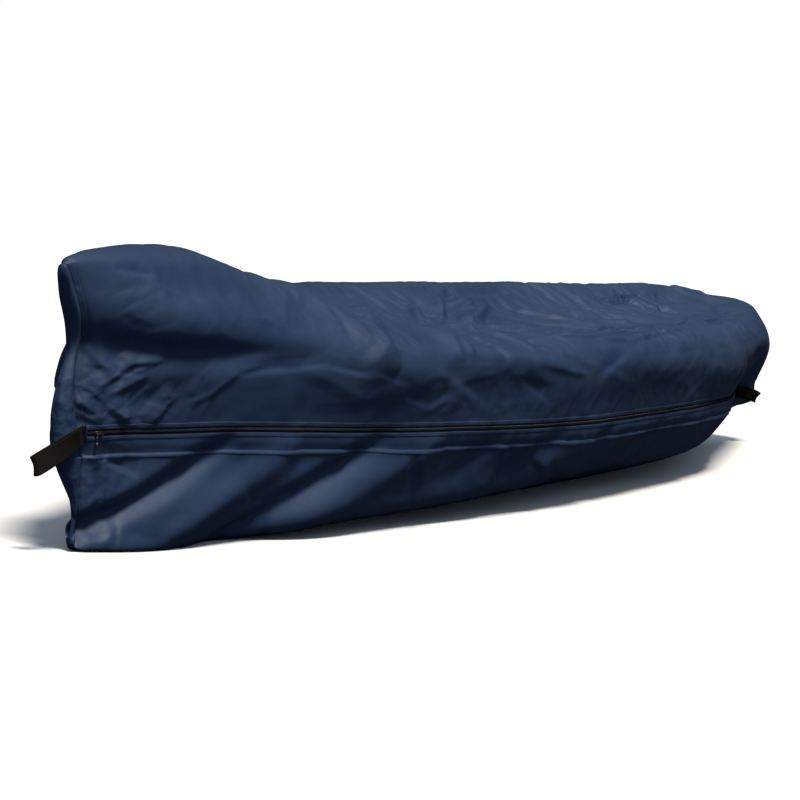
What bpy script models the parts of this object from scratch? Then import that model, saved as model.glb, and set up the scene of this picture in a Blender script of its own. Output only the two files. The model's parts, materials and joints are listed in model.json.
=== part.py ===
"""Zipped storage cover for a small open boat, closed, as it hangs on what it covers.

Metres, +Z up. X runs along the cover: the slack end with the zip slider is at -X, the filled
end at +X. The zip is on the -Y side. Z = 0 is the lowest cloth, on the ground. The tables' x = 0 is near
the widest section, and CENTRE_SHIFT moves it to the frame's.

The cloth is one loft through section tables. Each section is a closed loop of sixteen named
key points, and every panel is a stretch of that loop, so neighbours share their seam line.
"""
import bpy
import math
import numpy as np
from mathutils import Matrix, Vector

# ---------------------------------------------------------------- driving dimensions, metres
CLOTH = 0.0016            # thickness of the coated cloth with its seam allowance
SEAM_GAP = 0.0012         # between the edges of two panels sewn along one line
PIECE_GAP = 0.0003         # between pieces that touch
CORNER_GAP = 0.0028       # where an end panel turns a sharp corner round the side's edge
SLACK_SEAM_X = -2.45      # end seam of the slack end
FILLED_SEAM_X = 2.33      # end seam of the filled end
ZIP_WIDTH = 0.013         # visible tape and coil
PLACKET_WIDTH = 0.045     # strip under the zip, from the zip's middle to its seam
CENTRE_SHIFT = 0.034      # from the tables' x = 0 to the frame's, in the middle of the whole length
LIP = 0.055               # how far the top edge lies inside the widest line
FAR_SHOULDER_RISE = 0.03  # the far shoulder is that much higher than the near one
DECK_HALF = 0.45          # the deck's key points lie at that share of the half width,
DECK_SAG = 0.72           # and at that share of the way down from the edge to the crown
WEBBING = 0.0018          # thickness of the pull straps
WEBBING_WIDTH = 0.038

STATIONS = 47             # across the length, for the long panels
EVEN_SHARE = 0.72         # of the stations' spacing that is even; the rest closes up at the ends
UPPER_ROWS = 21
LOWER_ROWS = 12
PLACKET_ROWS = 2
CAP_ROWS = 36             # round an end panel

# Key points round a section, in order from the zip's upper edge over the top and under the floor.
ZIP_UPPER, SHOULDER, NEAR_RAIL, NEAR_DECK, CROWN, FAR_DECK, FAR_RAIL, FAR_SHOULDER = range(8)
FAR_WALL, FAR_BILGE, FAR_FLOOR, KEEL, NEAR_FLOOR, NEAR_BILGE, PLACKET_SEAM, ZIP_LOWER = range(8, 16)
KEYS = 16

COLUMNS = ("half", "shoulder_z", "near_rail_z", "crown_z", "far_rail_z", "zip_z",
           "wall_half", "bilge_half", "bilge_z", "floor_half", "floor_z")

# One row for each section of the body, slack end first: x, then the columns named above.
BODY = (
    (-2.45, .011, .440, .574, .588, .574, .240, .034, .010, .075, .007, .002),
    (-2.38, .046, .445, .568, .601, .568, .244, .068, .046, .055, .046, .000),
    (-2.25, .125, .445, .556, .615, .556, .246, .115, .094, .036, .086, .000),
    (-2.05, .185, .435, .532, .606, .536, .248, .172, .158, .036, .137, .000),
    (-1.80, .250, .410, .495, .580, .515, .244, .238, .215, .050, .140, .001),
    (-1.50, .315, .395, .455, .545, .500, .238, .302, .265, .062, .140, .001),
    (-1.20, .365, .385, .430, .500, .492, .234, .352, .300, .072, .140, .001),
    (-0.80, .410, .375, .415, .440, .494, .228, .398, .335, .078, .145, .000),
    (-0.35, .437, .362, .425, .410, .496, .224, .425, .350, .080, .155, .000),
    (0.15, .445, .355, .430, .405, .495, .226, .430, .348, .080, .160, .000),
    (0.70, .430, .352, .432, .408, .496, .226, .412, .326, .083, .150, .000),
    (1.20, .388, .348, .432, .415, .498, .224, .358, .284, .088, .130, .001),
    (1.65, .312, .345, .435, .428, .502, .216, .252, .203, .097, .090, .006),
    (2.00, .238, .345, .438, .445, .510, .200, .158, .125, .106, .060, .035),
    (2.22, .192, .345, .435, .460, .511, .185, .100, .080, .112, .045, .073),
    (2.33, .160, .345, .430, .470, .508, .175, .070, .062, .116, .040, .094),
)

# The narrow end panel of the slack end, from its seam outwards.
SLACK_END = (
    (-2.450, .011, .440, .574, .588, .574, .240, .034, .010, .075, .007, .002),
    (-2.462, .010, .438, .571, .584, .571, .240, .032, .009, .076, .006, .006),
    (-2.474, .008, .434, .562, .574, .562, .240, .025, .007, .080, .005, .014),
    (-2.480, .005, .430, .550, .558, .550, .240, .014, .005, .086, .003, .026),
)

# How far that panel bulges at each height, as a share of the table above.
SLACK_END_REACH = (
    (0.00, 0.3),
    (0.10, 0.5),
    (0.20, 1.8),
    (0.30, 1.2),
    (0.40, 0.5),
    (0.60, 0.8),
)

# The end panel of the filled end, pinched in at the strap and bulging past it.
FILLED_END = (
    (2.330, .160, .345, .430, .470, .508, .175, .070, .062, .116, .040, .094),
    (2.385, .157, .340, .425, .478, .513, .182, .098, .070, .128, .038, .108),
    (2.445, .143, .330, .412, .470, .490, .194, .105, .066, .150, .034, .137),
    (2.485, .110, .318, .385, .444, .450, .206, .080, .050, .172, .026, .160),
    (2.505, .062, .305, .345, .390, .392, .220, .045, .030, .195, .016, .188),
)

# How the slack end leans: height, outwards, towards the far side.
LEAN = (
    (0.00, .012, -.029),
    (0.08, .006, -.026),
    (0.20, .006, .000),
    (0.30, .030, .000),
    (0.44, .030, .000),
    (0.62, .080, .006),
)
# Places that face each other across an end panel, as key numbers: on the near side up from the
# keel to the crown, and on the far side.
CAP_PAIRS = (
    (-5.0, 11.0), (-4.0, 10.0), (-3.0, 9.0), (-2.0, 8.3), (-0.5, 8.0),
    (1.0, 7.0), (2.0, 6.0), (3.0, 5.0), (4.0, 4.0),
)
LEAN_HELD = 0.12          # the lean is whole that far in from the end seam,
LEAN_REACH = 0.50         # and has faded out here

# Main folds: the face they lie on, both ends along X and across (z on a side, y on the top),
# half width, and height over the cloth (less than nothing for a trough).
FOLDS = (
    ("near", -2.40, .060, -2.12, .190, .038, -.018),
    ("near", -2.36, .030, -1.98, .165, .040, .016),
    ("near", -2.10, .040, -1.72, .205, .042, -.018),
    ("near", -1.86, .050, -1.35, .175, .050, .014),
    ("near", -1.60, .070, -1.05, .200, .048, -.014),
    ("near", -0.75, .080, -0.20, .160, .055, .012),
    ("near", -0.20, .060, 0.50, .170, .055, -.012),
    ("near", 0.55, .085, 1.30, .165, .050, .011),
    ("near", -2.40, .370, -2.16, .330, .040, -.016),
    ("near", -2.39, .310, -2.19, .260, .035, .015),
    ("near", -1.95, .430, -1.25, .345, .050, .014),
    ("near", -1.62, .480, -1.50, .390, .045, .014),
    ("near", -1.20, .320, -0.55, .345, .045, -.013),
    ("near", -0.30, .375, 0.50, .360, .050, .012),
    ("near", 0.60, .340, 1.40, .290, .055, .012),
    ("near", 1.60, .330, 2.15, .270, .050, -.010),
    ("top", -1.00, .120, -0.55, -.180, .055, -.018),
    ("top", -0.45, .240, -0.15, -.120, .060, .016),
    ("top", 0.05, .260, 0.30, -.100, .055, -.014),
    ("top", 0.55, .200, 0.80, -.180, .060, -.016),
    ("top", 1.10, .160, 1.50, -.120, .055, .014),
    ("top", 1.70, .130, 1.95, -.060, .045, -.010),
    ("far", -2.38, .440, -1.90, .210, .055, .018),
    ("far", -2.38, .230, -1.75, .100, .050, -.014),
    ("far", -1.30, .330, -0.40, .250, .060, -.012),
    ("far", 0.30, .240, 1.20, .340, .060, .012),
    ("far", 1.50, .160, 2.20, .340, .050, .014),
)

# Routes of the two pull straps, the inner layer out to the tip and the outer layer back:
# x, y, z and how far the webbing's width leans towards +Y, in radians.
SLACK_STRAP = (
    (-2.4665, -.0357, .240, .00), (-2.4800, -.0347, .236, .00), (-2.4960, -.0317, .229, .03),
    (-2.5140, -.0234, .218, .12), (-2.5370, -.0079, .201, .22), (-2.5580, .0091, .184, .30),
    (-2.5680, .0151, .177, .30), (-2.5740, .0141, .174, .30), (-2.5760, .0081, .174, .30),
    (-2.5700, .0021, .179, .30), (-2.5460, -.0154, .198, .22), (-2.5190, -.0304, .216, .12),
    (-2.4980, -.0374, .229, .03), (-2.4800, -.0391, .236, .00), (-2.4620, -.0391, .240, .00),
)
FILLED_STRAP = (
    (2.3250, -.0783, .174, -.12), (2.3400, -.0818, .173, -.12), (2.3560, -.0913, .171, -.12),
    (2.3740, -.1013, .167, -.15), (2.3920, -.1093, .162, -.30), (2.4050, -.1153, .158, -.50),
    (2.4110, -.1188, .156, -.60), (2.4130, -.1228, .155, -.65), (2.4090, -.1268, .156, -.60),
    (2.4000, -.1268, .159, -.50), (2.3850, -.1198, .164, -.30), (2.3670, -.1088, .169, -.15),
    (2.3510, -.0978, .172, -.12), (2.3370, -.0883, .173, -.12), (2.3230, -.0823, .174, -.12),
)

SLIDER_X = -2.430         # middle of the slider, along the zip
SLIDER_SIZE = (0.020, 0.0105, 0.0040)
SLIDER_SEAT = 0.0010      # over the tape, which is not quite flat under it
PULL_SIZE = (0.0075, 0.0016, 0.030)
PULL_FORWARD = -0.006     # from the slider's middle towards the slack end
PULL_OVERLAP = 0.005      # of the pull's top over the zip's middle

NAVY = (0.020, 0.045, 0.130)
ZIP_BLACK = (0.012, 0.014, 0.015)
WEBBING_BLACK = (0.016, 0.013, 0.010)
SLIDER_GREY = (0.060, 0.060, 0.065)


# ---------------------------------------------------------------- the cloth's surface
def through(table, x):
    """Every column of a table at the places x, on a cubic that passes through its rows. The first
    column holds the rows' own places."""
    rows = np.array(table)
    rows = rows[np.argsort(rows[:, 0])]
    places = rows[:, 0]
    x = np.clip(x, places[0], places[-1])
    below = np.clip(np.searchsorted(places, x) - 1, 0, len(places) - 2)
    step = places[below + 1] - places[below]
    t = (x - places[below]) / step
    found = []
    for column in rows.T[1:]:
        slope = np.gradient(column, places)
        found.append(
            (2 * t**3 - 3 * t**2 + 1) * column[below]
            + (t**3 - 2 * t**2 + t) * step * slope[below]
            + (3 * t**2 - 2 * t**3) * column[below + 1]
            + (t**3 - t**2) * step * slope[below + 1]
        )
    return found


def section_keys(table, x):
    """The sixteen key points (y, z) of the sections at x."""
    c = dict(zip(COLUMNS, through(table, x)))
    lip = np.minimum(LIP, 0.35 * c["half"])
    zip_z = c["zip_z"]
    near_deck_z = c["near_rail_z"] + DECK_SAG * (c["crown_z"] - c["near_rail_z"])
    far_deck_z = c["far_rail_z"] + DECK_SAG * (c["crown_z"] - c["far_rail_z"])
    zero = 0 * x
    y = (-c["wall_half"], -c["half"], lip - c["half"], -DECK_HALF * c["half"], zero,
         DECK_HALF * c["half"], c["half"] - lip, c["half"], c["wall_half"], c["bilge_half"],
         c["floor_half"], zero, -c["floor_half"], -c["bilge_half"],
         -0.985 * c["wall_half"], -c["wall_half"])
    z = (zip_z + ZIP_WIDTH / 2, c["shoulder_z"], c["near_rail_z"], near_deck_z, c["crown_z"],
         far_deck_z, c["far_rail_z"], c["shoulder_z"] + FAR_SHOULDER_RISE, zip_z, c["bilge_z"],
         c["floor_z"] + .003, c["floor_z"], c["floor_z"] + .003, c["bilge_z"],
         zip_z - PLACKET_WIDTH, zip_z - ZIP_WIDTH / 2)
    return np.array((y, z))


def skin(table, x, u):
    """Points of the smooth cloth. u counts key points round the section, on a centripetal
    Catmull-Rom curve through them; x and u are arrays of one shape."""
    keys = section_keys(table, x)
    first = np.floor(u).astype(int)
    t = u - first
    p = [np.take_along_axis(keys, ((first + k) % KEYS)[None, None], axis=1)[:, 0] for k in (-1, 0, 1, 2)]
    d = [np.maximum(np.linalg.norm(b - a, axis=0), 1e-6) ** 0.5 for a, b in zip(p, p[1:])]
    m1 = ((p[1] - p[0]) / d[0] - (p[2] - p[0]) / (d[0] + d[1]) + (p[2] - p[1]) / d[1]) * d[1]
    m2 = ((p[2] - p[1]) / d[1] - (p[3] - p[1]) / (d[1] + d[2]) + (p[3] - p[2]) / d[2]) * d[1]
    a = 2 * p[1] - 2 * p[2] + m1 + m2
    b = -3 * p[1] + 3 * p[2] - 2 * m1 - m2
    y, z = a * t**3 + b * t**2 + m1 * t + p[1]
    return lean(np.stack((x, y, z), axis=-1))


def lean(points):
    """Leans the slack end by its height, fading out along the cover."""
    outwards, sideways = through(LEAN, points[..., 2])
    inwards = points[..., 0] - SLACK_SEAM_X
    t = np.clip((LEAN_REACH - inwards) / (LEAN_REACH - LEAN_HELD), 0, 1)
    share = t * t * (3 - 2 * t)
    points[..., 0] -= share * outwards
    points[..., 1] += share * sideways
    return points


def normals(table, x, u):
    """Outward normals of the smooth cloth, from two small steps along it."""
    dx = 1e-4 * np.where(x > np.mean([row[0] for row in table]), -1, 1)
    here = skin(table, x, u)
    along = (skin(table, x + dx, u) - here) / dx[..., None]
    round_it = skin(table, x, u + 1e-3) - here
    n = np.cross(round_it, along)
    return n / np.linalg.norm(n, axis=-1, keepdims=True)


def fold_height(points, n):
    """Sum of the main folds at each point: a bell across each fold's line, soft at its ends."""
    total = np.zeros(points.shape[:-1])
    facing = {"near": np.clip(-1.6 * n[..., 1], 0, 1), "far": np.clip(1.6 * n[..., 1], 0, 1),
              "top": np.clip(2 * n[..., 2] - 0.8, 0, 1)}
    for face, x0, a0, x1, a1, width, height in FOLDS:
        across = points[..., 1] if face == "top" else points[..., 2]
        length = math.hypot(x1 - x0, a1 - a0)
        ex, ea = (x1 - x0) / length, (a1 - a0) / length
        dx, da = points[..., 0] - x0, across - a0
        s = (dx * ex + da * ea) / length
        off = dx * ea - da * ex
        ends = np.clip(1 - (2 * s - 1) ** 2, 0, 1) ** 0.7 * ((s > 0) & (s < 1))
        total += height * facing[face] * ends * np.exp(-(off / width) ** 2)
    return total


def cloth(table, x, u):
    """Points of the cloth with its main folds."""
    points, n = skin(table, x, u), normals(table, x, u)
    points = points + fold_height(points, n)[..., None] * n
    points[..., 2] = np.maximum(points[..., 2], CLOTH / 2)
    return points


def moved_along(table, x, u, distance):
    """u moved by a distance in metres round the section."""
    step = 1e-3
    pace = np.linalg.norm(skin(table, x, u + step) - skin(table, x, u), axis=-1) / step
    return u + distance / pace


def far_seam(x):
    """Where the upper panel ends on the far side: at strap level at both ends, and down at the
    bilge from about 0.85 m in."""
    inwards = np.minimum(x - SLACK_SEAM_X, FILLED_SEAM_X - x) / 0.85
    share = np.clip(inwards, 0, 1)
    return FAR_WALL + 1.15 * share * share * (3 - 2 * share)


# ---------------------------------------------------------------- making objects
def clear_scene():
    for thing in list(bpy.data.objects):
        bpy.data.objects.remove(thing, do_unlink=True)


def material(name, colour, roughness, metallic=0.0):
    made = bpy.data.materials.new(name)
    made.use_nodes = True
    shader = made.node_tree.nodes["Principled BSDF"]
    shader.inputs["Base Color"].default_value = (*colour, 1)
    shader.inputs["Roughness"].default_value = roughness
    shader.inputs["Metallic"].default_value = metallic
    made.diffuse_color = (*colour, 1)
    return made


def add(name, mesh, finish):
    piece = bpy.data.objects.new(name, mesh)
    piece.data.materials.append(finish)
    bpy.data.collections["boat_cover"].objects.link(piece)
    return piece


def sheet(name, grid, finish, thickness, ring=False, capped=False):
    """A grid of points as quads, given its thickness by Solidify. A ring closes across its
    columns, and capped fills its last row with rungs from one side to the other."""
    grid = grid + (CENTRE_SHIFT, 0, 0)
    rows, across = grid.shape[:2]
    number = np.arange(rows * across).reshape(rows, across)
    if ring:
        number = np.hstack((number, number[:, :1]))
    faces = np.stack((number[:-1, :-1], number[1:, :-1], number[1:, 1:], number[:-1, 1:]), axis=-1)
    faces = faces.reshape(-1, 4).tolist()
    if capped:
        edge, half = number[-1], across // 2
        for k in range(half):
            rung = (edge[k], edge[k + 1], edge[across - k - 1], edge[across - k])
            faces.append(list(dict.fromkeys(int(corner) for corner in rung))[::-1])
    mesh = bpy.data.meshes.new(name)
    mesh.from_pydata(grid.reshape(-1, 3).tolist(), [], faces)
    mesh.shade_smooth()
    piece = add(name, mesh, finish)
    wall = piece.modifiers.new("thickness", "SOLIDIFY")
    wall.thickness = thickness
    wall.offset = 0
    return piece


def stations():
    """Places along the body, closer together towards its ends."""
    t = np.linspace(-1, 1, STATIONS)
    s = EVEN_SHARE * t + (1 - EVEN_SHARE) * np.sin(t * math.pi / 2)
    first, last = SLACK_SEAM_X + SEAM_GAP / 2, FILLED_SEAM_X - SEAM_GAP / 2
    return first + (last - first) * (s + 1) / 2


def panel(name, start, stop, rows, finish):
    """A long panel between two seam lines, each given as u at every station, with half the
    seam's gap taken off both edges."""
    x = stations()
    start = moved_along(BODY, x, start + 0 * x, SEAM_GAP / 2)
    stop = moved_along(BODY, x, stop + 0 * x, -SEAM_GAP / 2)
    share = np.linspace(0, 1, rows + 1)
    u = start[:, None] + (stop - start)[:, None] * share
    return sheet(name, cloth(BODY, x[:, None] + 0 * u, u), finish, CLOTH)


def end_panel(name, table, gap, rows, finish, reach=((0, 1), (1, 1))):
    """The cap that closes one end, a ring of cloth drawn in to its filled last row."""
    inner, outer = table[0][0], table[-1][0]
    side = math.copysign(1, outer - inner)
    x = np.linspace(inner + side * gap, outer, rows)
    near = np.linspace(CAP_PAIRS[0][0], CAP_PAIRS[-1][0], CAP_ROWS // 2 + 1)
    far = np.interp(near, *np.array(CAP_PAIRS).T)
    u = np.concatenate((near, far[-2:0:-1]))
    u = u if side < 0 else np.roll(u[::-1], 1)
    grid_x, grid_u = np.meshgrid(x, u, indexing="ij")
    points = cloth(table, grid_x, grid_u)
    share = through(reach, points[..., 2])[0]
    points[..., 0] += (share - 1) * (grid_x - grid_x[0])
    return sheet(name, points, finish, CLOTH, ring=True, capped=True)


def strap(name, route, finish):
    """A loop of webbing along its route, its width standing up and leaning by the last column."""
    middle, tilt = np.array(route)[:, :3], np.array(route)[:, 3]
    run = np.gradient(middle, axis=0)
    run /= np.linalg.norm(run, axis=1, keepdims=True)
    up = np.stack((0 * tilt, np.sin(tilt), np.cos(tilt)), axis=-1)
    up -= np.sum(run * up, axis=1, keepdims=True) * run
    up /= np.linalg.norm(up, axis=1, keepdims=True)
    across = np.linspace(-WEBBING_WIDTH / 2, WEBBING_WIDTH / 2, 3)
    return sheet(name, middle[:, None] + up[:, None] * across[:, None], finish, WEBBING)


def zip_place():
    """The slider's place on the zip: a frame with X along it and Z out of the cloth."""
    x = np.array([SLIDER_X])
    u = np.array([float(ZIP_LOWER) + 0.5])
    origin = Vector(cloth(BODY, x, u)[0])
    out = Vector(normals(BODY, x, u)[0])
    ahead = Vector(cloth(BODY, x + 0.01, u)[0]) - origin
    along = (ahead - ahead.dot(out) * out).normalized()
    across = out.cross(along)
    frame = Matrix((along, across, out)).transposed().to_4x4()
    frame.translation = origin + Vector((CENTRE_SHIFT, 0, 0))
    return frame


def block(name, size, frame, bevel, finish):
    """A rounded box set in a frame."""
    bpy.ops.mesh.primitive_cube_add(size=1)
    piece = bpy.context.object
    piece.name = name
    piece.data.name = name
    piece.data.transform(Matrix.Diagonal((*size, 1)))
    piece.matrix_world = frame
    piece.data.materials.append(finish)
    for holder in list(piece.users_collection):
        holder.objects.unlink(piece)
    bpy.data.collections["boat_cover"].objects.link(piece)
    edge = piece.modifiers.new("rounded", "BEVEL")
    edge.width = bevel
    edge.segments = 2
    return piece


def slider(finish):
    """The zip slider, and the pull that hangs from its front half across the placket."""
    frame = zip_place()
    seat = CLOTH / 2 + SLIDER_SEAT
    lift = Matrix.Translation((0, 0, seat + SLIDER_SIZE[2] / 2))
    block("zip_slider", SLIDER_SIZE, frame @ lift, 0.0012, finish)
    above = seat + SLIDER_SIZE[2] + PIECE_GAP + PULL_SIZE[1] / 2
    hang = frame @ Matrix.Translation((PULL_FORWARD, 0, above))
    down = Matrix.Translation((0, PULL_OVERLAP - PULL_SIZE[2] / 2, 0))
    block("zip_pull", (PULL_SIZE[0], PULL_SIZE[2], PULL_SIZE[1]), hang @ down, 0.0006, finish)


def main():
    clear_scene()
    holder = bpy.data.collections.new("boat_cover")
    bpy.context.scene.collection.children.link(holder)
    navy = material("navy_cloth", NAVY, 0.45)
    black = material("zip_tape", ZIP_BLACK, 0.55)
    webbing = material("webbing", WEBBING_BLACK, 0.65)
    metal = material("slider", SLIDER_GREY, 0.35, 0.8)

    seam = far_seam(stations())
    panel("upper_panel", 0.0, seam, UPPER_ROWS, navy)
    panel("lower_panel", seam, float(PLACKET_SEAM), LOWER_ROWS, navy)
    panel("zip_placket", float(PLACKET_SEAM), float(ZIP_LOWER), PLACKET_ROWS, navy)
    panel("zip", float(ZIP_LOWER), float(KEYS), 1, black)
    end_panel("slack_end_panel", SLACK_END, CORNER_GAP, 5, navy, SLACK_END_REACH)
    end_panel("filled_end_panel", FILLED_END, SEAM_GAP / 2, 8, navy)
    strap("slack_end_strap", SLACK_STRAP, webbing)
    strap("filled_end_strap", FILLED_STRAP, webbing)
    slider(metal)


main()
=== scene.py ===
# %% [markdown]
# # A zipped boat cover, seen along its side
# The object is one long bag of coated navy cloth. It is closed with a zip along one side, and a
# loop of webbing is sewn into each end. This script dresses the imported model: it never moves it.
# Everything is in metres: X runs along the cover, -Y is the side with the zip, +Z is up.

import bpy
import json
import math
import numpy as np
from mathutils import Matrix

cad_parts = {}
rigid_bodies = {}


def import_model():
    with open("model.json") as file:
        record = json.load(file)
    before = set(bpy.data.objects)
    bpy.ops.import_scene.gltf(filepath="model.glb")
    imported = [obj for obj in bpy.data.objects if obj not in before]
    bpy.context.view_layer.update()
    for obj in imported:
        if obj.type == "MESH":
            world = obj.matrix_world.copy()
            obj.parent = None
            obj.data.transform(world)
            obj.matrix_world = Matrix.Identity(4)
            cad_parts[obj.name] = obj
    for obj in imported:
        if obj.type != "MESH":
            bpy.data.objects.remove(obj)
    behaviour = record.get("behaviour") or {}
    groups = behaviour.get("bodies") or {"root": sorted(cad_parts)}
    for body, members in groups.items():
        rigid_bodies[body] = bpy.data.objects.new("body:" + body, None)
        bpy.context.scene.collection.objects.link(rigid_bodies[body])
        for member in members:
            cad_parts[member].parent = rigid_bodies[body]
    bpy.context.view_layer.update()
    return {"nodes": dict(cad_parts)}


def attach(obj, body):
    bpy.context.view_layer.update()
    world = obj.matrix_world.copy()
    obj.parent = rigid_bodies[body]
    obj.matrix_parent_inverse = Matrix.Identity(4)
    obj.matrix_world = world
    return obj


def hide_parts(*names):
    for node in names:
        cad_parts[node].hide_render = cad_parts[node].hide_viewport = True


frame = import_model()
print("nodes:", ", ".join(sorted(frame["nodes"])))

# %% [markdown]
# ## The shape of the cover
# A cover like this has no drawing that gives its height everywhere: it takes the shape of what it
# lies on. It could be sculpted by hand, but a table of sections says the same in twenty lines and
# can be read and changed. Each row is a slice across the cover, with its widths and heights. They
# were chosen with the help of places on the near side that were measured in the photograph.

# %% Driving sizes
CENTRE_SHIFT = 0.034      # from the tables' x = 0 to the frame's
SLACK_SEAM_X = -2.45      # the seams of the two ends
FILLED_SEAM_X = 2.33
ZIP_WIDTH = 0.013
PLACKET_WIDTH = 0.045     # the strip under the zip
LIP = 0.055               # each top edge is rounded over this width,
LIP_MOST = 0.35           # or over this share of the half width where that is less
DECK_AT = 0.45            # at this share of the half width the top has
DECK_RISE = 0.72          # this share of its rise to the middle
TUCK = 0.985              # the strip's lower edge lies in to this share of the wall
FLOOR_DISH = 0.003
FAR_SHOULDER_RISE = 0.03
GROUND_CLEARANCE = 0.0008
print(f"between the end seams: {FILLED_SEAM_X - SLACK_SEAM_X:.2f} m")

# %% Sections along the body
COLUMNS = ("half", "shoulder_z", "near_rail_z", "crown_z", "far_rail_z", "zip_z",
           "wall_half", "bilge_half", "bilge_z", "floor_half", "floor_z")
KEYS = 16
ZIP_UPPER, FAR_WALL, PLACKET_SEAM, ZIP_LOWER = 0, 8, 14, 15

BODY = (
    (-2.45, .011, .440, .574, .588, .574, .240, .034, .010, .075, .007, .002),
    (-2.38, .046, .445, .568, .599, .568, .244, .068, .046, .055, .046, .000),
    (-2.25, .125, .445, .556, .612, .556, .246, .115, .094, .036, .086, .000),
    (-2.05, .185, .435, .532, .620, .536, .248, .172, .158, .036, .137, .000),
    (-1.80, .250, .410, .495, .573, .515, .244, .238, .215, .050, .140, .001),
    (-1.50, .315, .395, .455, .541, .500, .238, .302, .265, .062, .140, .001),
    (-1.20, .365, .393, .430, .500, .492, .234, .352, .300, .072, .140, .001),
    (-0.80, .410, .388, .415, .440, .494, .228, .398, .335, .078, .145, .000),
    (-0.35, .437, .380, .425, .410, .496, .224, .425, .350, .080, .155, .000),
    (0.15, .445, .378, .430, .405, .495, .226, .430, .348, .080, .160, .000),
    (0.70, .430, .376, .432, .408, .496, .226, .412, .326, .083, .150, .000),
    (1.20, .388, .372, .432, .415, .498, .224, .358, .284, .088, .130, .001),
    (1.65, .312, .366, .435, .428, .502, .216, .252, .203, .097, .090, .006),
    (2.00, .238, .362, .438, .445, .510, .200, .158, .125, .106, .060, .035),
    (2.22, .192, .358, .445, .478, .505, .185, .100, .080, .112, .045, .073),
    (2.33, .160, .355, .444, .482, .496, .175, .070, .062, .116, .040, .094),
)
print("sections along the body:", len(BODY))

# %% Sections of the two ends
SLACK_END = (
    BODY[0],
    (-2.462, .010, .438, .571, .584, .571, .240, .032, .009, .076, .006, .006),
    (-2.474, .008, .434, .562, .574, .562, .240, .025, .007, .080, .005, .014),
    (-2.480, .005, .430, .550, .558, .550, .240, .014, .005, .086, .003, .026),
)
# height over the floor, and how much of its depth the slack end has there
SLACK_END_REACH = ((0.00, 0.3), (0.10, 0.5), (0.20, 1.8), (0.30, 1.2), (0.40, 0.5), (0.60, 0.8))
FILLED_END = (
    BODY[-1],
    (2.385, .155, .348, .440, .480, .487, .182, .098, .070, .128, .038, .108),
    (2.445, .141, .330, .430, .466, .464, .194, .105, .066, .150, .034, .137),
    (2.485, .110, .318, .404, .436, .430, .206, .080, .050, .172, .026, .160),
    (2.505, .062, .305, .355, .396, .390, .220, .045, .030, .195, .016, .188),
)
print("sections of the ends:", len(SLACK_END), "and", len(FILLED_END))

# %% How the slack end leans and fills out
LEAN = (
    # height, out along -X, aside along Y
    (0.00, .012, -.029),
    (0.08, .006, -.026),
    (0.20, .006, .000),
    (0.30, .030, .000),
    (0.44, .034, .000),
    (0.52, .066, .002),
    (0.62, .104, .006),
)
LEAN_HELD = 0.12          # it has its whole lean this far along, and none from here on:
LEAN_REACH = 0.50
# height, and how much fuller the cloth is there on the near and on the far side
NEAR_FULLER = (
    (0.00, .004), (0.10, .006), (0.22, .000), (0.30, -.003),
    (0.37, .002), (0.45, .018), (0.54, .014), (0.62, .002),
)
FAR_FULLER = ((0.00, .000), (0.36, .000), (0.43, .013), (0.50, .015), (0.56, .009), (0.62, .000))
NEAR_BLEND = 0.02         # the near side ends over this width about the middle
print("the slack end leans out by", max(row[1] for row in LEAN), "m at the top")


# %% Read a table on a smooth curve
def through(table, x):
    """Every column of a table at the places x. Between two rows a column follows the cubic that
    meets both with the slopes found from their neighbours."""
    rows = np.array(table)
    rows = rows[np.argsort(rows[:, 0])]
    places = rows[:, 0]
    x = np.clip(x, places[0], places[-1])
    below = np.clip(np.searchsorted(places, x) - 1, 0, len(places) - 2)
    step = places[below + 1] - places[below]
    t = (x - places[below]) / step
    found = []
    for column in rows.T[1:]:
        slope = np.gradient(column, places)
        found.append(
            (2 * t**3 - 3 * t**2 + 1) * column[below]
            + (t**3 - 2 * t**2 + t) * step * slope[below]
            + (3 * t**2 - 2 * t**3) * column[below + 1]
            + (t**3 - t**2) * step * slope[below + 1]
        )
    return found


def smooth(t):
    """0 up to t = 0, 1 from t = 1, and an S between them: 3 t squared less 2 t cubed."""
    t = np.clip(t, 0, 1)
    return t * t * (3 - 2 * t)


def run(line):
    """Length from a line's start to each of its points, or the same for each of several lines."""
    steps = np.linalg.norm(np.diff(line, axis=-2), axis=-1)
    return np.concatenate((0 * steps[..., :1], np.cumsum(steps, axis=-1)), axis=-1)


def bell(distance, reach):
    """1 at no distance and less on both sides: exp of minus the square of distance over reach."""
    return np.exp(-(distance / reach) ** 2)


TINY = 1e-9


def unit(v):
    """The same directions at length 1."""
    return v / np.maximum(np.linalg.norm(v, axis=-1, keepdims=True), TINY)


print("half width in the middle:", through(BODY, np.zeros(1))[0].round(3), "m")


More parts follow.
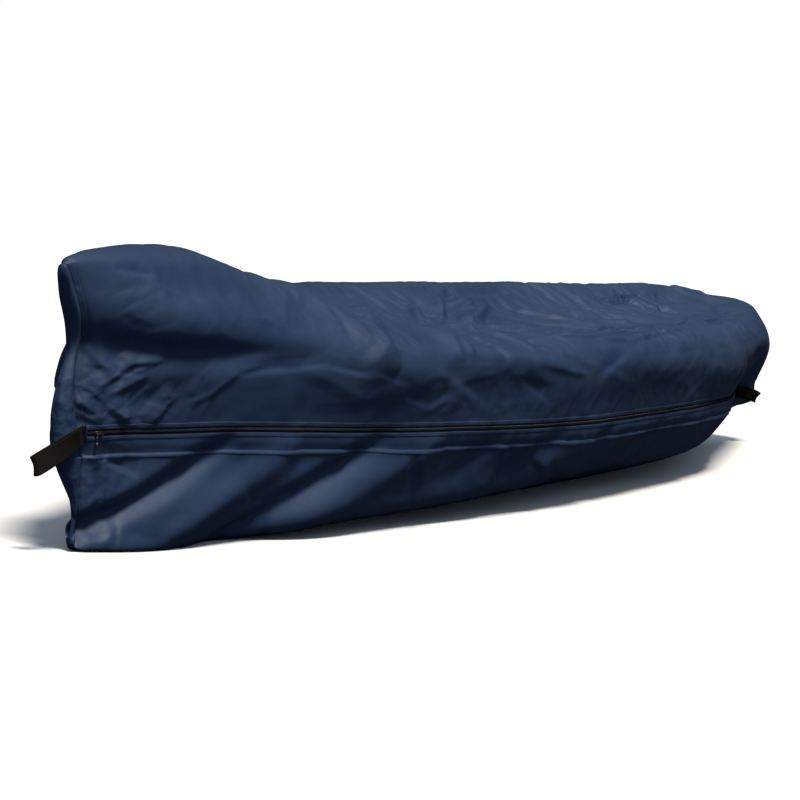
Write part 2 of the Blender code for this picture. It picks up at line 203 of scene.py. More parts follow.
# %% The section as a closed curve
def section_keys(table, x):
    """Sixteen points (y, z) round the section at each x, from the zip over the top and back
    under the floor."""
    c = dict(zip(COLUMNS, through(table, x)))
    half, wall, zip_z = c["half"], c["wall_half"], c["zip_z"]
    lip = np.minimum(LIP, LIP_MOST * half)
    near_deck_z, far_deck_z = (rail + DECK_RISE * (c["crown_z"] - rail)
                               for rail in (c["near_rail_z"], c["far_rail_z"]))
    zero = 0 * x
    y = (-wall, -half, lip - half, -DECK_AT * half, zero, DECK_AT * half, half - lip, half, wall,
         c["bilge_half"], c["floor_half"], zero, -c["floor_half"], -c["bilge_half"],
         -TUCK * wall, -wall)
    z = (zip_z + ZIP_WIDTH / 2, c["shoulder_z"], c["near_rail_z"], near_deck_z, c["crown_z"],
         far_deck_z, c["far_rail_z"], c["shoulder_z"] + FAR_SHOULDER_RISE, zip_z, c["bilge_z"],
         c["floor_z"] + FLOOR_DISH, c["floor_z"], c["floor_z"] + FLOOR_DISH, c["bilge_z"],
         zip_z - PLACKET_WIDTH, zip_z - ZIP_WIDTH / 2)
    return np.array((y, z))


def lean(points):
    """Leans the slack end: it moves out along -X and aside along Y by its height, and the shift
    fades out along the cover."""
    height = points[..., 2]
    outwards, sideways = through(LEAN, height)
    share = smooth((LEAN_REACH - (points[..., 0] - SLACK_SEAM_X)) / (LEAN_REACH - LEAN_HELD))
    near_share = smooth(0.5 - points[..., 1] / NEAR_BLEND)
    nearer = through(NEAR_FULLER, height)[0] * near_share
    further = through(FAR_FULLER, height)[0] * (1 - near_share)
    points[..., 0] -= share * outwards
    points[..., 1] += share * (sideways - nearer + further)
    return points


SHORTEST = 1e-6           # two key points count as this far apart at least


def skin(table, x, u):
    """The smooth cloth at x and u, where u counts key points round the section. Between two keys
    the curve is a centripetal Catmull-Rom one: a cubic whose end slopes come from the keys on
    both sides, with each span's length taken as the square root of the distance."""
    keys = section_keys(table, x)
    first = np.floor(u).astype(int)
    t = u - first
    p = [np.take_along_axis(keys, ((first + k) % KEYS)[None, None], axis=1)[:, 0]
         for k in (-1, 0, 1, 2)]
    d = [np.maximum(np.linalg.norm(b - a, axis=0), SHORTEST) ** 0.5 for a, b in zip(p, p[1:])]
    m1 = ((p[1] - p[0]) / d[0] - (p[2] - p[0]) / (d[0] + d[1]) + (p[2] - p[1]) / d[1]) * d[1]
    m2 = ((p[2] - p[1]) / d[1] - (p[3] - p[1]) / (d[1] + d[2]) + (p[3] - p[2]) / d[2]) * d[1]
    a = 2 * p[1] - 2 * p[2] + m1 + m2
    b = -3 * p[1] + 3 * p[2] - 2 * m1 - m2
    y, z = a * t**3 + b * t**2 + m1 * t + p[1]
    return lean(np.stack((x, y, z), axis=-1))


SEAM_DROP = 1.15          # the far seam runs this many key points lower between the ends,
SEAM_DROP_LENGTH = 0.85   # and gets there this far from each of them


def far_seam(x):
    """u of the seam between the large upper panel and the lower one on the side away from the zip:
    at strap level at both ends, and down at the bilge further in."""
    inwards = np.minimum(x - SLACK_SEAM_X, FILLED_SEAM_X - x) / SEAM_DROP_LENGTH
    return FAR_WALL + SEAM_DROP * smooth(inwards)


def seam_rows(x):
    """u of the four lengthways seams, and of the first one again after a whole turn."""
    return (0 * x, far_seam(x), 0 * x + PLACKET_SEAM, 0 * x + ZIP_LOWER, 0 * x + KEYS)


print("height in the middle:", skin(BODY, np.zeros(1), np.full(1, 4.0))[0, 2].round(3), "m")

# %% [markdown]
# ## One net of cloth
# The real cover is sewn from a large upper panel, a lower panel, a narrow strip under the zip and
# two end panels. They could be made one by one, but then a fold would stop at each seam. Here all
# of them are first one net of points, so folds run across the seams as they do in sewn cloth, and
# the panels are cut out of the net afterwards.

# %% Size of the net
UPPER_ROWS = 168
LOWER_ROWS = 100
PLACKET_ROWS = 8
ZIP_ROWS = 4
ROWS = UPPER_ROWS + LOWER_ROWS + PLACKET_ROWS + ZIP_ROWS
FAR_SEAM_ROW = UPPER_ROWS
PLACKET_SEAM_ROW = UPPER_ROWS + LOWER_ROWS
ZIP_LOWER_ROW = PLACKET_SEAM_ROW + PLACKET_ROWS
SLACK_END_LINES = 16
BODY_LINES = 560
FILLED_END_LINES = 32
FIRST, LAST = SLACK_END_LINES, SLACK_END_LINES + BODY_LINES
FINE_STEPS = 40           # between two key points, when the rows are spread
ROW_SPACING = (           # u, and how far apart the rows lie there
    (0.0, .66), (2.2, .80), (3.0, .95), (6.0, 1.05), (7.0, 2.0),
    (8.0, 3.0), (10.5, 2.6), (12.5, 1.0), (16.0, .8),
)
LINE_SPACING = 0.46       # how far apart the body's lines lie at the slack end,
LINE_SPACING_STEPS = (    # and by how much that grows, from where, and over what share
    (0.72, 0.00, 0.45),
    (-0.25, 0.82, 0.18),
)
print(ROWS, "rows and", LAST + FILLED_END_LINES + 1, "lines")


# %% Lay out the net
def even_rows(table, x):
    """u of every row at every x. The length of the section is summed over fine steps, each one
    divided by the spacing wanted there, and read back at equal shares of it, so the rows lie
    closest on the side with the zip."""
    fine = np.linspace(0, KEYS, KEYS * FINE_STEPS + 1)
    grid_x, grid_u = np.meshgrid(x, fine, indexing="ij")
    points = skin(table, grid_x, grid_u)
    wanted_step = np.interp(fine[1:], *np.array(ROW_SPACING).T)
    length = np.cumsum(np.linalg.norm(np.diff(points, axis=1), axis=-1) / wanted_step, axis=1)
    length = np.hstack((0 * x[:, None], length))
    counts = (UPPER_ROWS, LOWER_ROWS, PLACKET_ROWS, ZIP_ROWS)
    u = []
    for seams, line_length in zip(np.stack(seam_rows(x), axis=-1), length):
        marks = np.interp(seams, fine, line_length)
        wanted = [np.linspace(a, b, n, endpoint=False)
                  for a, b, n in zip(marks, marks[1:], counts)]
        u.append(np.interp(np.concatenate(wanted), line_length, fine))
    return np.array(u)


def body_lines():
    """Places of the net's lines along the body: closest near the slack end, where the creases are
    smallest and the camera is nearest."""
    t = np.linspace(0, 1, BODY_LINES + 1)
    spacing = LINE_SPACING
    for change, start, over in LINE_SPACING_STEPS:
        spacing = spacing + change * smooth((t - start) / over)
    s = np.concatenate(([0], np.cumsum((spacing[1:] + spacing[:-1]) / 2)))
    return SLACK_SEAM_X + (FILLED_SEAM_X - SLACK_SEAM_X) * s / s[-1]


def net():
    """Points of the whole smooth cover, one line of points round each place along it."""
    slack_x = np.linspace(SLACK_END[-1][0], SLACK_SEAM_X, SLACK_END_LINES + 1)[:-1]
    filled_x = np.linspace(FILLED_SEAM_X, FILLED_END[-1][0], FILLED_END_LINES + 1)[1:]
    lines = []
    for table, x in ((SLACK_END, slack_x), (BODY, body_lines()), (FILLED_END, filled_x)):
        u = even_rows(table, x)
        points = skin(table, x[:, None] + 0 * u, u)
        if table is SLACK_END:
            share = through(SLACK_END_REACH, points[..., 2])[0]
            points[..., 0] += (share - 1) * (x[:, None] - SLACK_SEAM_X)
        lines.append(points)
    return np.concatenate(lines)


def face_normals(points):
    """Outward normals at the points of the net: the cross product of the steps to the
    neighbours on both sides."""
    along = np.gradient(points, axis=0)
    return unit(np.cross(along, np.roll(points, -1, axis=1) - np.roll(points, 1, axis=1)))


smooth_net = net()
smooth_normals = face_normals(smooth_net)
print("net:", smooth_net.shape, "lowest and highest corner:",
      smooth_net.min((0, 1)).round(3), smooth_net.max((0, 1)).round(3))

# %% [markdown]
# ## Main folds
# The big soft folds are where the cloth is longer than what it lies on: diagonal troughs under the
# zip, a pinch by the strap, a sag between the two top edges. A simulation would find folds of this
# kind, but not these ones, so they are listed one by one in a table. Each is a bell across a line.

# %% A table of main folds
FOLDS = (
    # face, line from x and height (y on the top) to x and height, width, how far it stands out
    ("near", -2.64, -.030, -2.02, .228, .024, -.032),
    ("near", -2.38, -.030, -1.80, .215, .038, .018),
    ("near", -2.14, -.040, -1.45, .225, .029, -.026),
    ("near", -1.98, .000, -1.20, .205, .044, .022),
    ("near", -1.86, .040, -0.45, .075, .042, .024),
    ("near", -0.60, .055, 1.50, .100, .040, .013),
    ("near", -1.20, .100, -0.90, .205, .034, -.007),
    ("near", -0.90, .090, -0.50, .205, .034, -.012),
    ("near", -0.75, .080, -0.20, .160, .055, .012),
    ("near", -0.20, .060, 0.50, .170, .055, -.012),
    ("near", 0.55, .085, 1.30, .165, .050, .011),
    ("near", -2.60, .422, -2.00, .392, .030, -.013),
    ("near", -2.34, .420, -1.60, .398, .030, -.010),
    ("near", -2.56, .500, -1.90, .470, .046, .010),
    ("near", -2.40, .300, -2.16, .345, .034, -.005),
    ("near", -1.95, .430, -1.25, .345, .050, .014),
    ("near", -1.62, .480, -1.50, .390, .045, .014),
    ("near", -1.20, .320, -0.55, .335, .045, -.008),
    ("near", -0.30, .375, 0.50, .360, .050, .012),
    ("near", 0.60, .340, 1.40, .290, .055, .012),
    ("near", 1.60, .330, 2.15, .270, .050, -.010),
    ("top", -1.00, .120, -0.55, -.180, .055, -.018),
    ("top", -0.45, .240, -0.15, -.120, .060, .016),
    ("top", 0.05, .260, 0.30, -.100, .055, -.014),
    ("top", 0.55, .200, 0.80, -.180, .060, -.016),
    ("top", 1.10, .160, 1.50, -.120, .055, .014),
    ("top", 1.70, .130, 1.95, -.060, .045, -.010),
    ("far", -2.60, .435, -1.70, .400, .055, -.040),
    ("far", -2.38, .440, -1.90, .210, .055, .018),
    ("far", -2.38, .230, -1.75, .100, .050, -.014),
    ("top", -1.20, -.330, -0.30, -.220, .060, .012),
    ("far", -1.30, .330, -0.40, .250, .060, -.012),
    ("far", 0.30, .240, 1.20, .340, .060, .012),
    ("far", 1.50, .160, 2.20, .340, .050, .014),
)
print("main folds:", len(FOLDS))

# %% Raise the folds
SIDES = {
    # which way a side faces: axis of the normal, times, plus
    "near": (1, -1.6, 0.0), "far": (1, 1.6, 0.0), "top": (2, 2.0, -0.8), "end": (0, -1.6, 0.0),
}
FOLD_REACH = 3            # a fold is worked out this many widths past its ends
FOLD_FULLNESS = 0.7       # power of the lens along a fold: below 1, it is full for longer
GENTLE_SIDE = 2.6         # a crease's gentle side is that much wider than its steep one


def facing(n):
    """How far each point belongs to each side, 0 to 1, from its normal."""
    return {side: np.clip(times * n[..., axis] + plus, 0, 1)
            for side, (axis, times, plus) in SIDES.items()}


def fold_height(points, n, folds, sharp=False):
    """Height of the folds at each point: a lens along each fold's line that is 0 at both ends,
    times a profile across it. A soft fold's profile is a bell, exp of minus the square of the
    distance over the width. A sharp one is a tent with one steep side and one long gentle one,
    which leaves a flat facet and a crisp edge."""
    total = np.zeros(points.shape[:-1])
    parts = facing(n)
    first, last = points[..., 0].min(axis=1), points[..., 0].max(axis=1)
    for face, x0, a0, x1, a1, width, height in folds:
        reach = FOLD_REACH * width
        if face == "end":
            near = np.flatnonzero(first < SLACK_SEAM_X)
        else:
            near = np.flatnonzero((last > min(x0, x1) - reach) & (first < max(x0, x1) + reach))
        if not len(near):
            continue
        part = slice(near[0], near[-1] + 1)
        p = points[part]
        across = p[..., 1] if face == "top" else p[..., 2]
        length = math.hypot(x1 - x0, a1 - a0)
        ex, ea = (x1 - x0) / length, (a1 - a0) / length
        dx, da = (p[..., 1] if face == "end" else p[..., 0]) - x0, across - a0
        s = (dx * ex + da * ea) / length
        off = (dx * ea - da * ex) / width
        ends = np.clip(1 - (2 * s - 1) ** 2, 0, 1) ** FOLD_FULLNESS * ((s > 0) & (s < 1))
        if sharp:
            profile = np.clip(1 - np.maximum(off, -off / GENTLE_SIDE), 0, 1)
        else:
            profile = bell(off, 1)
        total[part] += height * parts[face][part] * ends * profile
    return total


folded_net = smooth_net + fold_height(smooth_net, smooth_normals, FOLDS)[..., None] * smooth_normals
folded_net[..., 2] = np.maximum(folded_net[..., 2], GROUND_CLEARANCE)
print("folded:", np.abs(folded_net - smooth_net).max().round(3), "m at most")

# %% [markdown]
# ## Creases
# Between the main folds the coated cloth is full of sharp small creases, mostly on the top and by
# the slack end. Each row here is one more line on the cloth, narrower than a main fold. Most rows on
# the near side and the top, 41 of them, start from a crease of the real cover: its two ends were
# read off the photograph and carried onto the cloth through the camera below, and the row was then
# written with the line drawn longer. The other rows, and all widths and heights, were chosen one by
# one.

# %% Creases drawn one by one
CREASES = (
    # columns as in the folds' table
    ("near", -2.47, .415, -2.41, .360, .012, .007),
    ("near", -2.46, .385, -2.40, .330, .010, -.002),
    ("near", -2.45, .328, -2.36, .388, .011, .008),
    ("near", -2.39, .383, -2.29, .394, .010, .007),
    ("near", -2.42, .318, -2.33, .362, .012, .006),
    ("near", -2.50, .315, -2.42, .268, .010, .006),
    ("near", -2.49, .290, -2.41, .252, .010, .005),
    ("near", -2.47, .345, -2.42, .298, .010, .005),
    ("near", -2.42, .300, -2.35, .260, .012, .007),
    ("near", -2.31, .255, -2.25, .322, .016, .008),
    ("near", -2.36, .260, -2.29, .332, .014, -.002),
    ("near", -2.20, .300, -2.06, .370, .016, .005),
    ("near", -2.09, .362, -1.98, .386, .012, .004),
    ("near", -2.07, .366, -1.90, .384, .010, -.005),
    ("near", -1.97, .372, -1.76, .392, .010, -.004),
    ("near", -1.79, .390, -1.60, .366, .010, -.004),
    ("near", -1.63, .380, -1.43, .342, .010, -.003),
    ("top", -1.34, -.140, -1.56, -.290, .021, .015),
    ("near", -1.48, .450, -1.66, .372, .024, .009),
    ("near", -1.46, .322, -1.31, .292, .012, -.004),
    ("near", -1.33, .292, -1.24, .322, .012, -.003),
    ("near", -0.88, .358, -0.65, .278, .012, -.003),
    ("near", -0.80, .388, -0.46, .348, .012, .005),
    ("near", 0.74, .412, 1.02, .382, .010, .002),
    ("near", 1.60, .425, 1.68, .325, .012, .006),
    ("near", 1.73, .425, 1.79, .325, .012, .006),
    ("near", 1.86, .415, 1.91, .325, .012, .006),
    ("near", -2.42, .576, -2.31, .566, .010, -.004),
    ("near", -2.43, .200, -2.32, .160, .014, -.007),
    ("near", -1.40, .190, -1.27, .065, .014, -.003),
    ("near", -1.34, .185, -1.22, .080, .014, .004),
    ("near", -0.70, .150, -0.56, .115, .014, .007),
    ("near", 0.10, .080, 0.45, .160, .018, .006),
    ("near", 1.30, .090, 1.80, .170, .020, -.006),
    ("top", 0.58, .335, -0.20, .045, .018, -.019),
    ("top", 0.36, .310, 0.03, .130, .018, .019),
    ("top", 0.16, .280, -0.12, .120, .015, -.014),
    ("top", 0.08, .275, -0.29, .080, .018, .016),
    ("top", 0.16, .338, 0.45, .290, .013, -.014),
    ("top", 0.41, .294, 0.64, .276, .013, -.012),
    ("top", 0.58, .290, 0.95, .279, .013, -.014),
    ("top", 0.38, .264, 0.70, .236, .013, .014),
    ("top", -0.20, .046, 0.20, .118, .015, -.015),
    ("top", 0.12, .104, 0.63, .224, .016, .018),
    ("top", 0.62, .225, 0.16, .062, .015, -.015),
    ("top", 0.76, .200, 0.86, .070, .015, .014),
    ("top", 0.57, .030, 0.52, -.080, .013, -.011),
    ("top", 1.48, .182, 1.70, .136, .011, -.011),
    ("top", 1.60, .152, 1.86, .150, .011, -.011),
    ("top", 2.00, .135, 1.71, .018, .011, -.011),
    ("top", 1.71, .010, 1.65, -.085, .011, -.009),
    ("top", 1.02, .000, 0.67, -.170, .015, -.014),
    ("top", -0.24, -.386, 0.00, -.414, .013, .011),
    ("top", -0.07, -.412, 0.30, -.382, .013, .011),
    ("top", 0.22, -.390, 0.69, -.340, .015, .012),
    ("top", 0.61, -.349, 1.42, -.195, .016, .014),
    ("far", -2.40, .500, -2.10, .420, .020, -.008),
    ("far", -2.36, .330, -2.16, .290, .016, .008),
    ("far", -2.10, .180, -1.70, .260, .020, .008),
    ("far", -1.60, .360, -1.20, .240, .022, -.008),
    ("far", -0.90, .200, -0.50, .330, .020, .007),
    ("far", -0.20, .330, 0.20, .240, .020, -.007),
    ("far", 0.90, .200, 1.20, .330, .020, .007),
    ("far", 1.60, .380, 2.00, .320, .020, -.007),
    ("far", 2.00, .220, 2.25, .300, .018, .007),
)
print("creases drawn one by one:", len(CREASES))

# %% [markdown]
# ## Crumpled cloth
# Where the cloth is crumpled, nobody could place each crease. They are strewn at random, but a
# seed makes them the same on each run, and a table says how many and how strong each area has.

# %% Strew small creases
CRUMPLES = (
    # face, from x, to x, from and to across it (y on the top, height on a side), how many,
    # length, width, how far they stand out, slope, spread of the slope
    ("top", -1.90, -1.10, -.20, .25, 20, .30, .022, .0060, 0.3, 0.6),
    ("top", -1.15, 0.30, -.34, .26, 90, .20, .014, .0092, 0.4, 1.6),
    ("top", 0.20, 1.50, -.34, .26, 70, .20, .013, .0078, 0.4, 1.6),
    ("top", 1.40, 2.25, -.22, .28, 34, .26, .020, .0055, 0.5, 1.2),
    ("near", -2.46, -2.34, .25, .40, 22, .060, .007, .0022, 0.8, 1.4),
    ("near", -2.36, -2.12, .25, .38, 22, .080, .008, .0015, 0.6, 1.0),
    ("end", -.03, .03, .06, .56, 14, .070, .008, .0014, 1.2, 0.5),
    ("near", -2.46, -2.36, .03, .22, 16, .060, .008, .0030, 1.2, 1.2),
    ("near", -2.46, -2.00, .44, .56, 30, .090, .007, .0009, 0.1, 0.6),
    ("near", -2.00, -1.30, .36, .50, 30, .110, .008, .0011, 0.0, 0.5),
    ("top", -2.20, -1.20, -.16, .20, 50, .120, .009, .0018, 0.2, 0.9),
    ("top", -1.20, 1.90, -.34, .30, 200, .120, .010, .0046, 0.4, 1.5),
    ("near", -1.30, 2.10, .24, .40, 60, .110, .009, .0011, 0.1, 0.9),
    ("near", -2.30, 2.00, .04, .18, 60, .120, .010, .0013, 0.4, 1.0),
    ("near", -1.90, -0.60, .30, .46, 14, .40, .028, .0035, -0.1, 0.3),
    ("near", -1.30, 0.80, .35, .42, 16, .30, .016, .0032, -0.05, 0.35),
    ("near", 0.50, 2.25, .30, .40, 16, .26, .014, .0016, 0.0, 0.45),
    ("near", -2.20, 1.90, .03, .18, 16, .42, .026, .0032, 0.25, 0.35),
    ("far", -2.43, -2.10, .20, .56, 22, .14, .020, .0048, 0.6, 1.2),
    ("far", -2.10, 2.20, .10, .46, 60, .36, .030, .0042, 0.15, 0.6),
)
CRUMPLE_SEED = 11
LENGTH_VARIES = (0.5, 1.5)
HEIGHT_VARIES = (0.4, 1.3)
WIDTH_VARIES = (0.6, 1.5)


def crumple_lines(areas, seed):
    """Creases at random inside each area: the middle anywhere in it, the length, width and height
    around the table's, and the direction within the spread of the slope, in radians."""
    random = np.random.default_rng(seed)
    lines = []
    for face, x0, x1, a0, a1, count, length, width, height, slope, spread in areas:
        for _ in range(count):
            x, across = random.uniform(x0, x1), random.uniform(a0, a1)
            half = 0.5 * length * random.uniform(*LENGTH_VARIES)
            turn = slope + spread * random.uniform(-1, 1)
            dx, da = half * math.cos(turn), half * math.sin(turn)
            rise = height * random.uniform(*HEIGHT_VARIES) * random.choice((-1, 1))
            wide = width * random.uniform(*WIDTH_VARIES)
            lines.append((face, x - dx, across - da, x + dx, across + da, wide, rise))
    return lines


crumples = crumple_lines(CRUMPLES, CRUMPLE_SEED)
crease_field = fold_height(smooth_net, smooth_normals, CREASES, sharp=True)
crease_field += fold_height(smooth_net, smooth_normals, crumples, sharp=True)
print(f"creases: {len(CREASES)} drawn one by one, {len(crumples)} at random")

# %% [markdown]
# ## Let the cloth settle
# Loose cloth is a little longer than the shape it lies on, and buckles to make room. Blender's
# Cloth can do this, but here the net is a regular grid, so the same idea fits in a few array
# operations: each thread is pulled or pushed to its own length again and again, first on a coarse
# net for the long waves and then on finer ones for the sharp creases. A leash keeps every point
# within a few millimetres of the sculpted shape, so the outline stays true.

# %% How loose the cloth is
LOOSE = (
    # face, from x, to x, extra length along, extra length round
    ("top", -2.45, -1.20, .002, .002),
    ("top", -1.20, 1.60, .005, .005),
    ("top", 1.60, 2.33, .003, .003),
    ("near", -2.45, -2.28, .008, .008),
    ("near", -2.28, 2.33, .001, .002),
    ("far", -2.45, -1.80, .008, .008),
    ("far", -1.80, 1.80, .005, .005),
    ("far", 1.80, 2.33, .006, .006),
)
EDGE_OF_AREA = 0.12       # the looseness fades in over this length
SEAM_PUCKER = 0.005       # extra length along, beside a seam
SEAM_PUCKER_REACH = 0.045
LEASH_OUT = 0.007
LEASH_IN = 0.014
LEASH_AT_ZIP = 0.0015
LEASH_AT_SEAM = 0.004
SEAM_LEASH_REACH = 0.03
ZIP_REACH = 0.012
ZIP_HOLD = 0.4            # the zip holds the cloth still over this share of the pucker's reach
SEAM_STEP = 0.0028        # the lower panel's edge lies over the strip under the zip
SEAM_STEP_REACH = 0.012
END_GROOVE = 0.0090       # the end seams pull the cloth in
FILLED_GROOVE = 0.0020
END_GROOVE_REACH = 0.012
print("areas of looseness:", len(LOOSE))


# %% Distances and looseness on the net
def distance_round(points, rows):
    """Distance of every point from the nearest of some rows, measured along the cloth."""
    steps = np.linalg.norm(np.roll(points, -1, axis=1) - points, axis=-1)
    start = np.cumsum(steps, axis=1) - steps
    whole = steps.sum(axis=1, keepdims=True)
    found = np.full(start.shape, np.inf)
    for row in rows:
        off = np.abs(start - start[:, row : row + 1])
        found = np.minimum(found, np.minimum(off, whole - off))
    return found


def looseness(points, n):
    """Extra length of the cloth along and round the cover: the table's areas, blended by how the
    surface faces, plus the puckers close to the zip and the seams."""
    parts = facing(n)
    x = points[..., 0]
    along, round_it = np.zeros(x.shape), np.zeros(x.shape)
    for face, x0, x1, more_along, more_round in LOOSE:
        area = smooth((x - x0) / EDGE_OF_AREA + 0.5) * smooth((x1 - x) / EDGE_OF_AREA + 0.5)
        along += parts[face] * area * more_along
        round_it += parts[face] * area * more_round
    along += SEAM_PUCKER * bell(seam_distance, SEAM_PUCKER_REACH)
    free = 1 - bell(zip_distance, ZIP_HOLD * SEAM_PUCKER_REACH)
    return along * free, round_it * free


seam_distance = distance_round(smooth_net, (0, FAR_SEAM_ROW, PLACKET_SEAM_ROW, ZIP_LOWER_ROW))
zip_distance = distance_round(smooth_net, range(ZIP_LOWER_ROW, ROWS))
loose_along, loose_round = looseness(smooth_net, smooth_normals)
print("looseness, mean and most:", loose_along.mean().round(4), loose_along.max().round(4))

# %% Pull the threads to their length
THREADS = (
    # lines on, rows on, which looseness, strength: along, round and on both diagonals
    (1, 0, "along", 0.7), (0, 1, "round", 0.7), (1, 1, "both", 0.25), (1, -1, "both", 0.25),
)
SIDE_KEPT = 0.96          # share of a point's way along the surface that it keeps after a pass


def thread(points, length, di, dj, strength):
    """One pass over all threads from a point to the one di lines and dj rows on: both ends move
    by half of strength times how much too long or too short the thread is."""
    a, b = points[: len(points) - di], np.roll(points[di:], -dj, axis=1)
    step = b - a
    now = np.sqrt(np.einsum("ijk,ijk->ij", step, step))
    push = (0.5 * strength * (1 - length / now))[..., None] * step
    points[: len(points) - di] += push
    points[di:] -= np.roll(push, dj, axis=1)


def thread_length(points, di, dj, extra):
    """Lengths that the threads want: as in the sculpted shape, times 1 plus the looseness."""
    a, b = points[: len(points) - di], np.roll(points[di:], -dj, axis=1)
    return np.linalg.norm(b - a, axis=-1) * (1 + extra[: len(points) - di])


def settle(start, shape, normals, along, round_it, out, inwards, passes, bend):
    """Relaxes a net by passes: threads along, round and on both diagonals, and weak ones across
    two steps that stand for the cloth's stiffness. The leash clips how far a point leaves the
    shape along the normal, and draws it back a little along the surface."""
    extra = {"along": along, "round": round_it, "both": (along + round_it) / 2}
    stiff = ((2, 0, "along", bend), (0, 2, "round", bend))
    threads = [(thread_length(shape, di, dj, extra[way]).astype("f4"), di, dj, strength)
               for di, dj, way, strength in THREADS + stiff]
    points, shape, normals, out, inwards = (
        a.astype("f4") for a in (start, shape, normals, out, inwards))
    for _ in range(passes):
        for length, di, dj, strength in threads:
            thread(points, length, di, dj, strength)
        away = points - shape
        lift = np.einsum("ijk,ijk->ij", away, normals)
        side = away - lift[..., None] * normals
        lift = np.clip(lift, -inwards, out)
        points = shape + lift[..., None] * normals + SIDE_KEPT * side
        points[..., 2] = np.maximum(points[..., 2], GROUND_CLEARANCE)
    return points.astype(float)


def finer(move, lines, rows):
    """A coarse field of moves on a net with twice the lines and rows: the new points lie halfway
    between their neighbours."""
    for axis, count in ((0, lines), (1, rows)):
        near = np.roll(move, -1, axis=axis)
        mixed = np.stack((move, (move + near) / 2), axis=axis + 1)
        shape = list(move.shape)
        shape[axis] *= 2
        move = np.take(mixed.reshape(shape), np.arange(count), axis=axis)
    return move


print("threads of a point:", len(THREADS), "and two stiff ones")

# %% What the settled cloth starts from
WAVES = 12
WAVE_VARIES = (0.7, 1.6)
WAVES_REACH = 5           # the sum of the waves seldom passes this
RIPPLES = ((0.0016, 0.22, 3), (0.0006, 0.07, 4))   # height, length, seed
FIRST_MOVE = (0.002, 0.13, 5)


def grain(points, scale, seed):
    """Smooth random heights between -1 and 1: a sum of sine waves in space of about one length
    and of random directions and phases."""
    random = np.random.default_rng(seed)
    total = np.zeros(points.shape[:-1])
    for _ in range(WAVES):
        wave = random.normal(size=3)
        wave *= 2 * math.pi / (scale * random.uniform(*WAVE_VARIES) * np.linalg.norm(wave))
        total += np.sin(points @ wave + random.uniform(0, 2 * math.pi))
    return total / WAVES_REACH


ripple = sum(height * grain(smooth_net, length, seed) for height, length, seed in RIPPLES)
in_or_out = np.where(np.arange(ROWS) < PLACKET_SEAM_ROW, SEAM_STEP, -SEAM_STEP)
seam_step = in_or_out * bell(distance_round(smooth_net, (PLACKET_SEAM_ROW,)), SEAM_STEP_REACH)
groove = np.zeros(ROWS)
for line, depth in ((FIRST, END_GROOVE), (LAST, FILLED_GROOVE)):
    off_end_seam = np.linalg.norm(smooth_net - smooth_net[line], axis=-1)
    groove = groove - depth * bell(off_end_seam, END_GROOVE_REACH)
at_zip = bell(zip_distance, ZIP_REACH)
detail = (crease_field + ripple + seam_step + groove) * (1 - at_zip)
shape_net = folded_net + detail[..., None] * smooth_normals
shape_net[..., 2] = np.maximum(shape_net[..., 2], GROUND_CLEARANCE)
leash = 1 - (1 - LEASH_AT_SEAM / LEASH_OUT) * bell(seam_distance, SEAM_LEASH_REACH)
out, inwards = (length * leash * (1 - at_zip) + LEASH_AT_ZIP * at_zip
                for length in (LEASH_OUT, LEASH_IN))
shape_normals = face_normals(folded_net)
print("creases, seams and ripples reach from", detail.min().round(3), "to", detail.max().round(3))

# %% Settle the net, coarse first
ROUNDS = ((4, 160, 0.08), (2, 60, 0.03), (1, 16, 0.0))   # every so many lines, passes, stiffness
QUICK_PASSES = 8

move = None
for stride, passes, bend in ROUNDS:
    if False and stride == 1:
        passes = QUICK_PASSES
    part = (slice(None, None, stride), slice(None, None, stride))
    level = shape_net[part]
    if move is None:
        height, length, seed = FIRST_MOVE
        begin = level + height * grain(level, length, seed)[..., None] * shape_normals[part]
    else:
        begin = level + finer(move, *level.shape[:2])
    settled = settle(begin, level, shape_normals[part], loose_along[part], loose_round[part],
                     out[part], inwards[part], passes, bend)
    move = settled - level
cloth_net = settled + (CENTRE_SHIFT, 0, 0)
print("settled: the cloth lies", np.abs(move).max().round(4), "m at most from the sculpted shape")

# %% [markdown]
# ## Wiring materials in Python
# A material is a graph of nodes. Drawn by hand it is hard to read later, so a small class lets a
# socket be used like a number: adding or multiplying two of them adds the Math node that does it.
# Everything that isn't arithmetic on values comes from one method, which takes the node's type.

# %% A class for shader maths
class Value:
    """One output of a node. Arithmetic on it adds Math nodes and gives the new output."""

    def __init__(self, wiring, socket):
        self.wiring, self.socket = wiring, socket

    def __add__(self, other):
        return self.wiring.math("ADD", self, other)

    def __sub__(self, other):
        return self.wiring.math("SUBTRACT", self, other)

    def __rsub__(self, other):
        return self.wiring.math("SUBTRACT", other, self)

    def __mul__(self, other):
        return self.wiring.math("MULTIPLY", self, other)

    def __abs__(self):
        return self.wiring.math("ABSOLUTE", self)

    __radd__ = __add__
    __rmul__ = __mul__


print("a socket can be added, subtracted and multiplied")


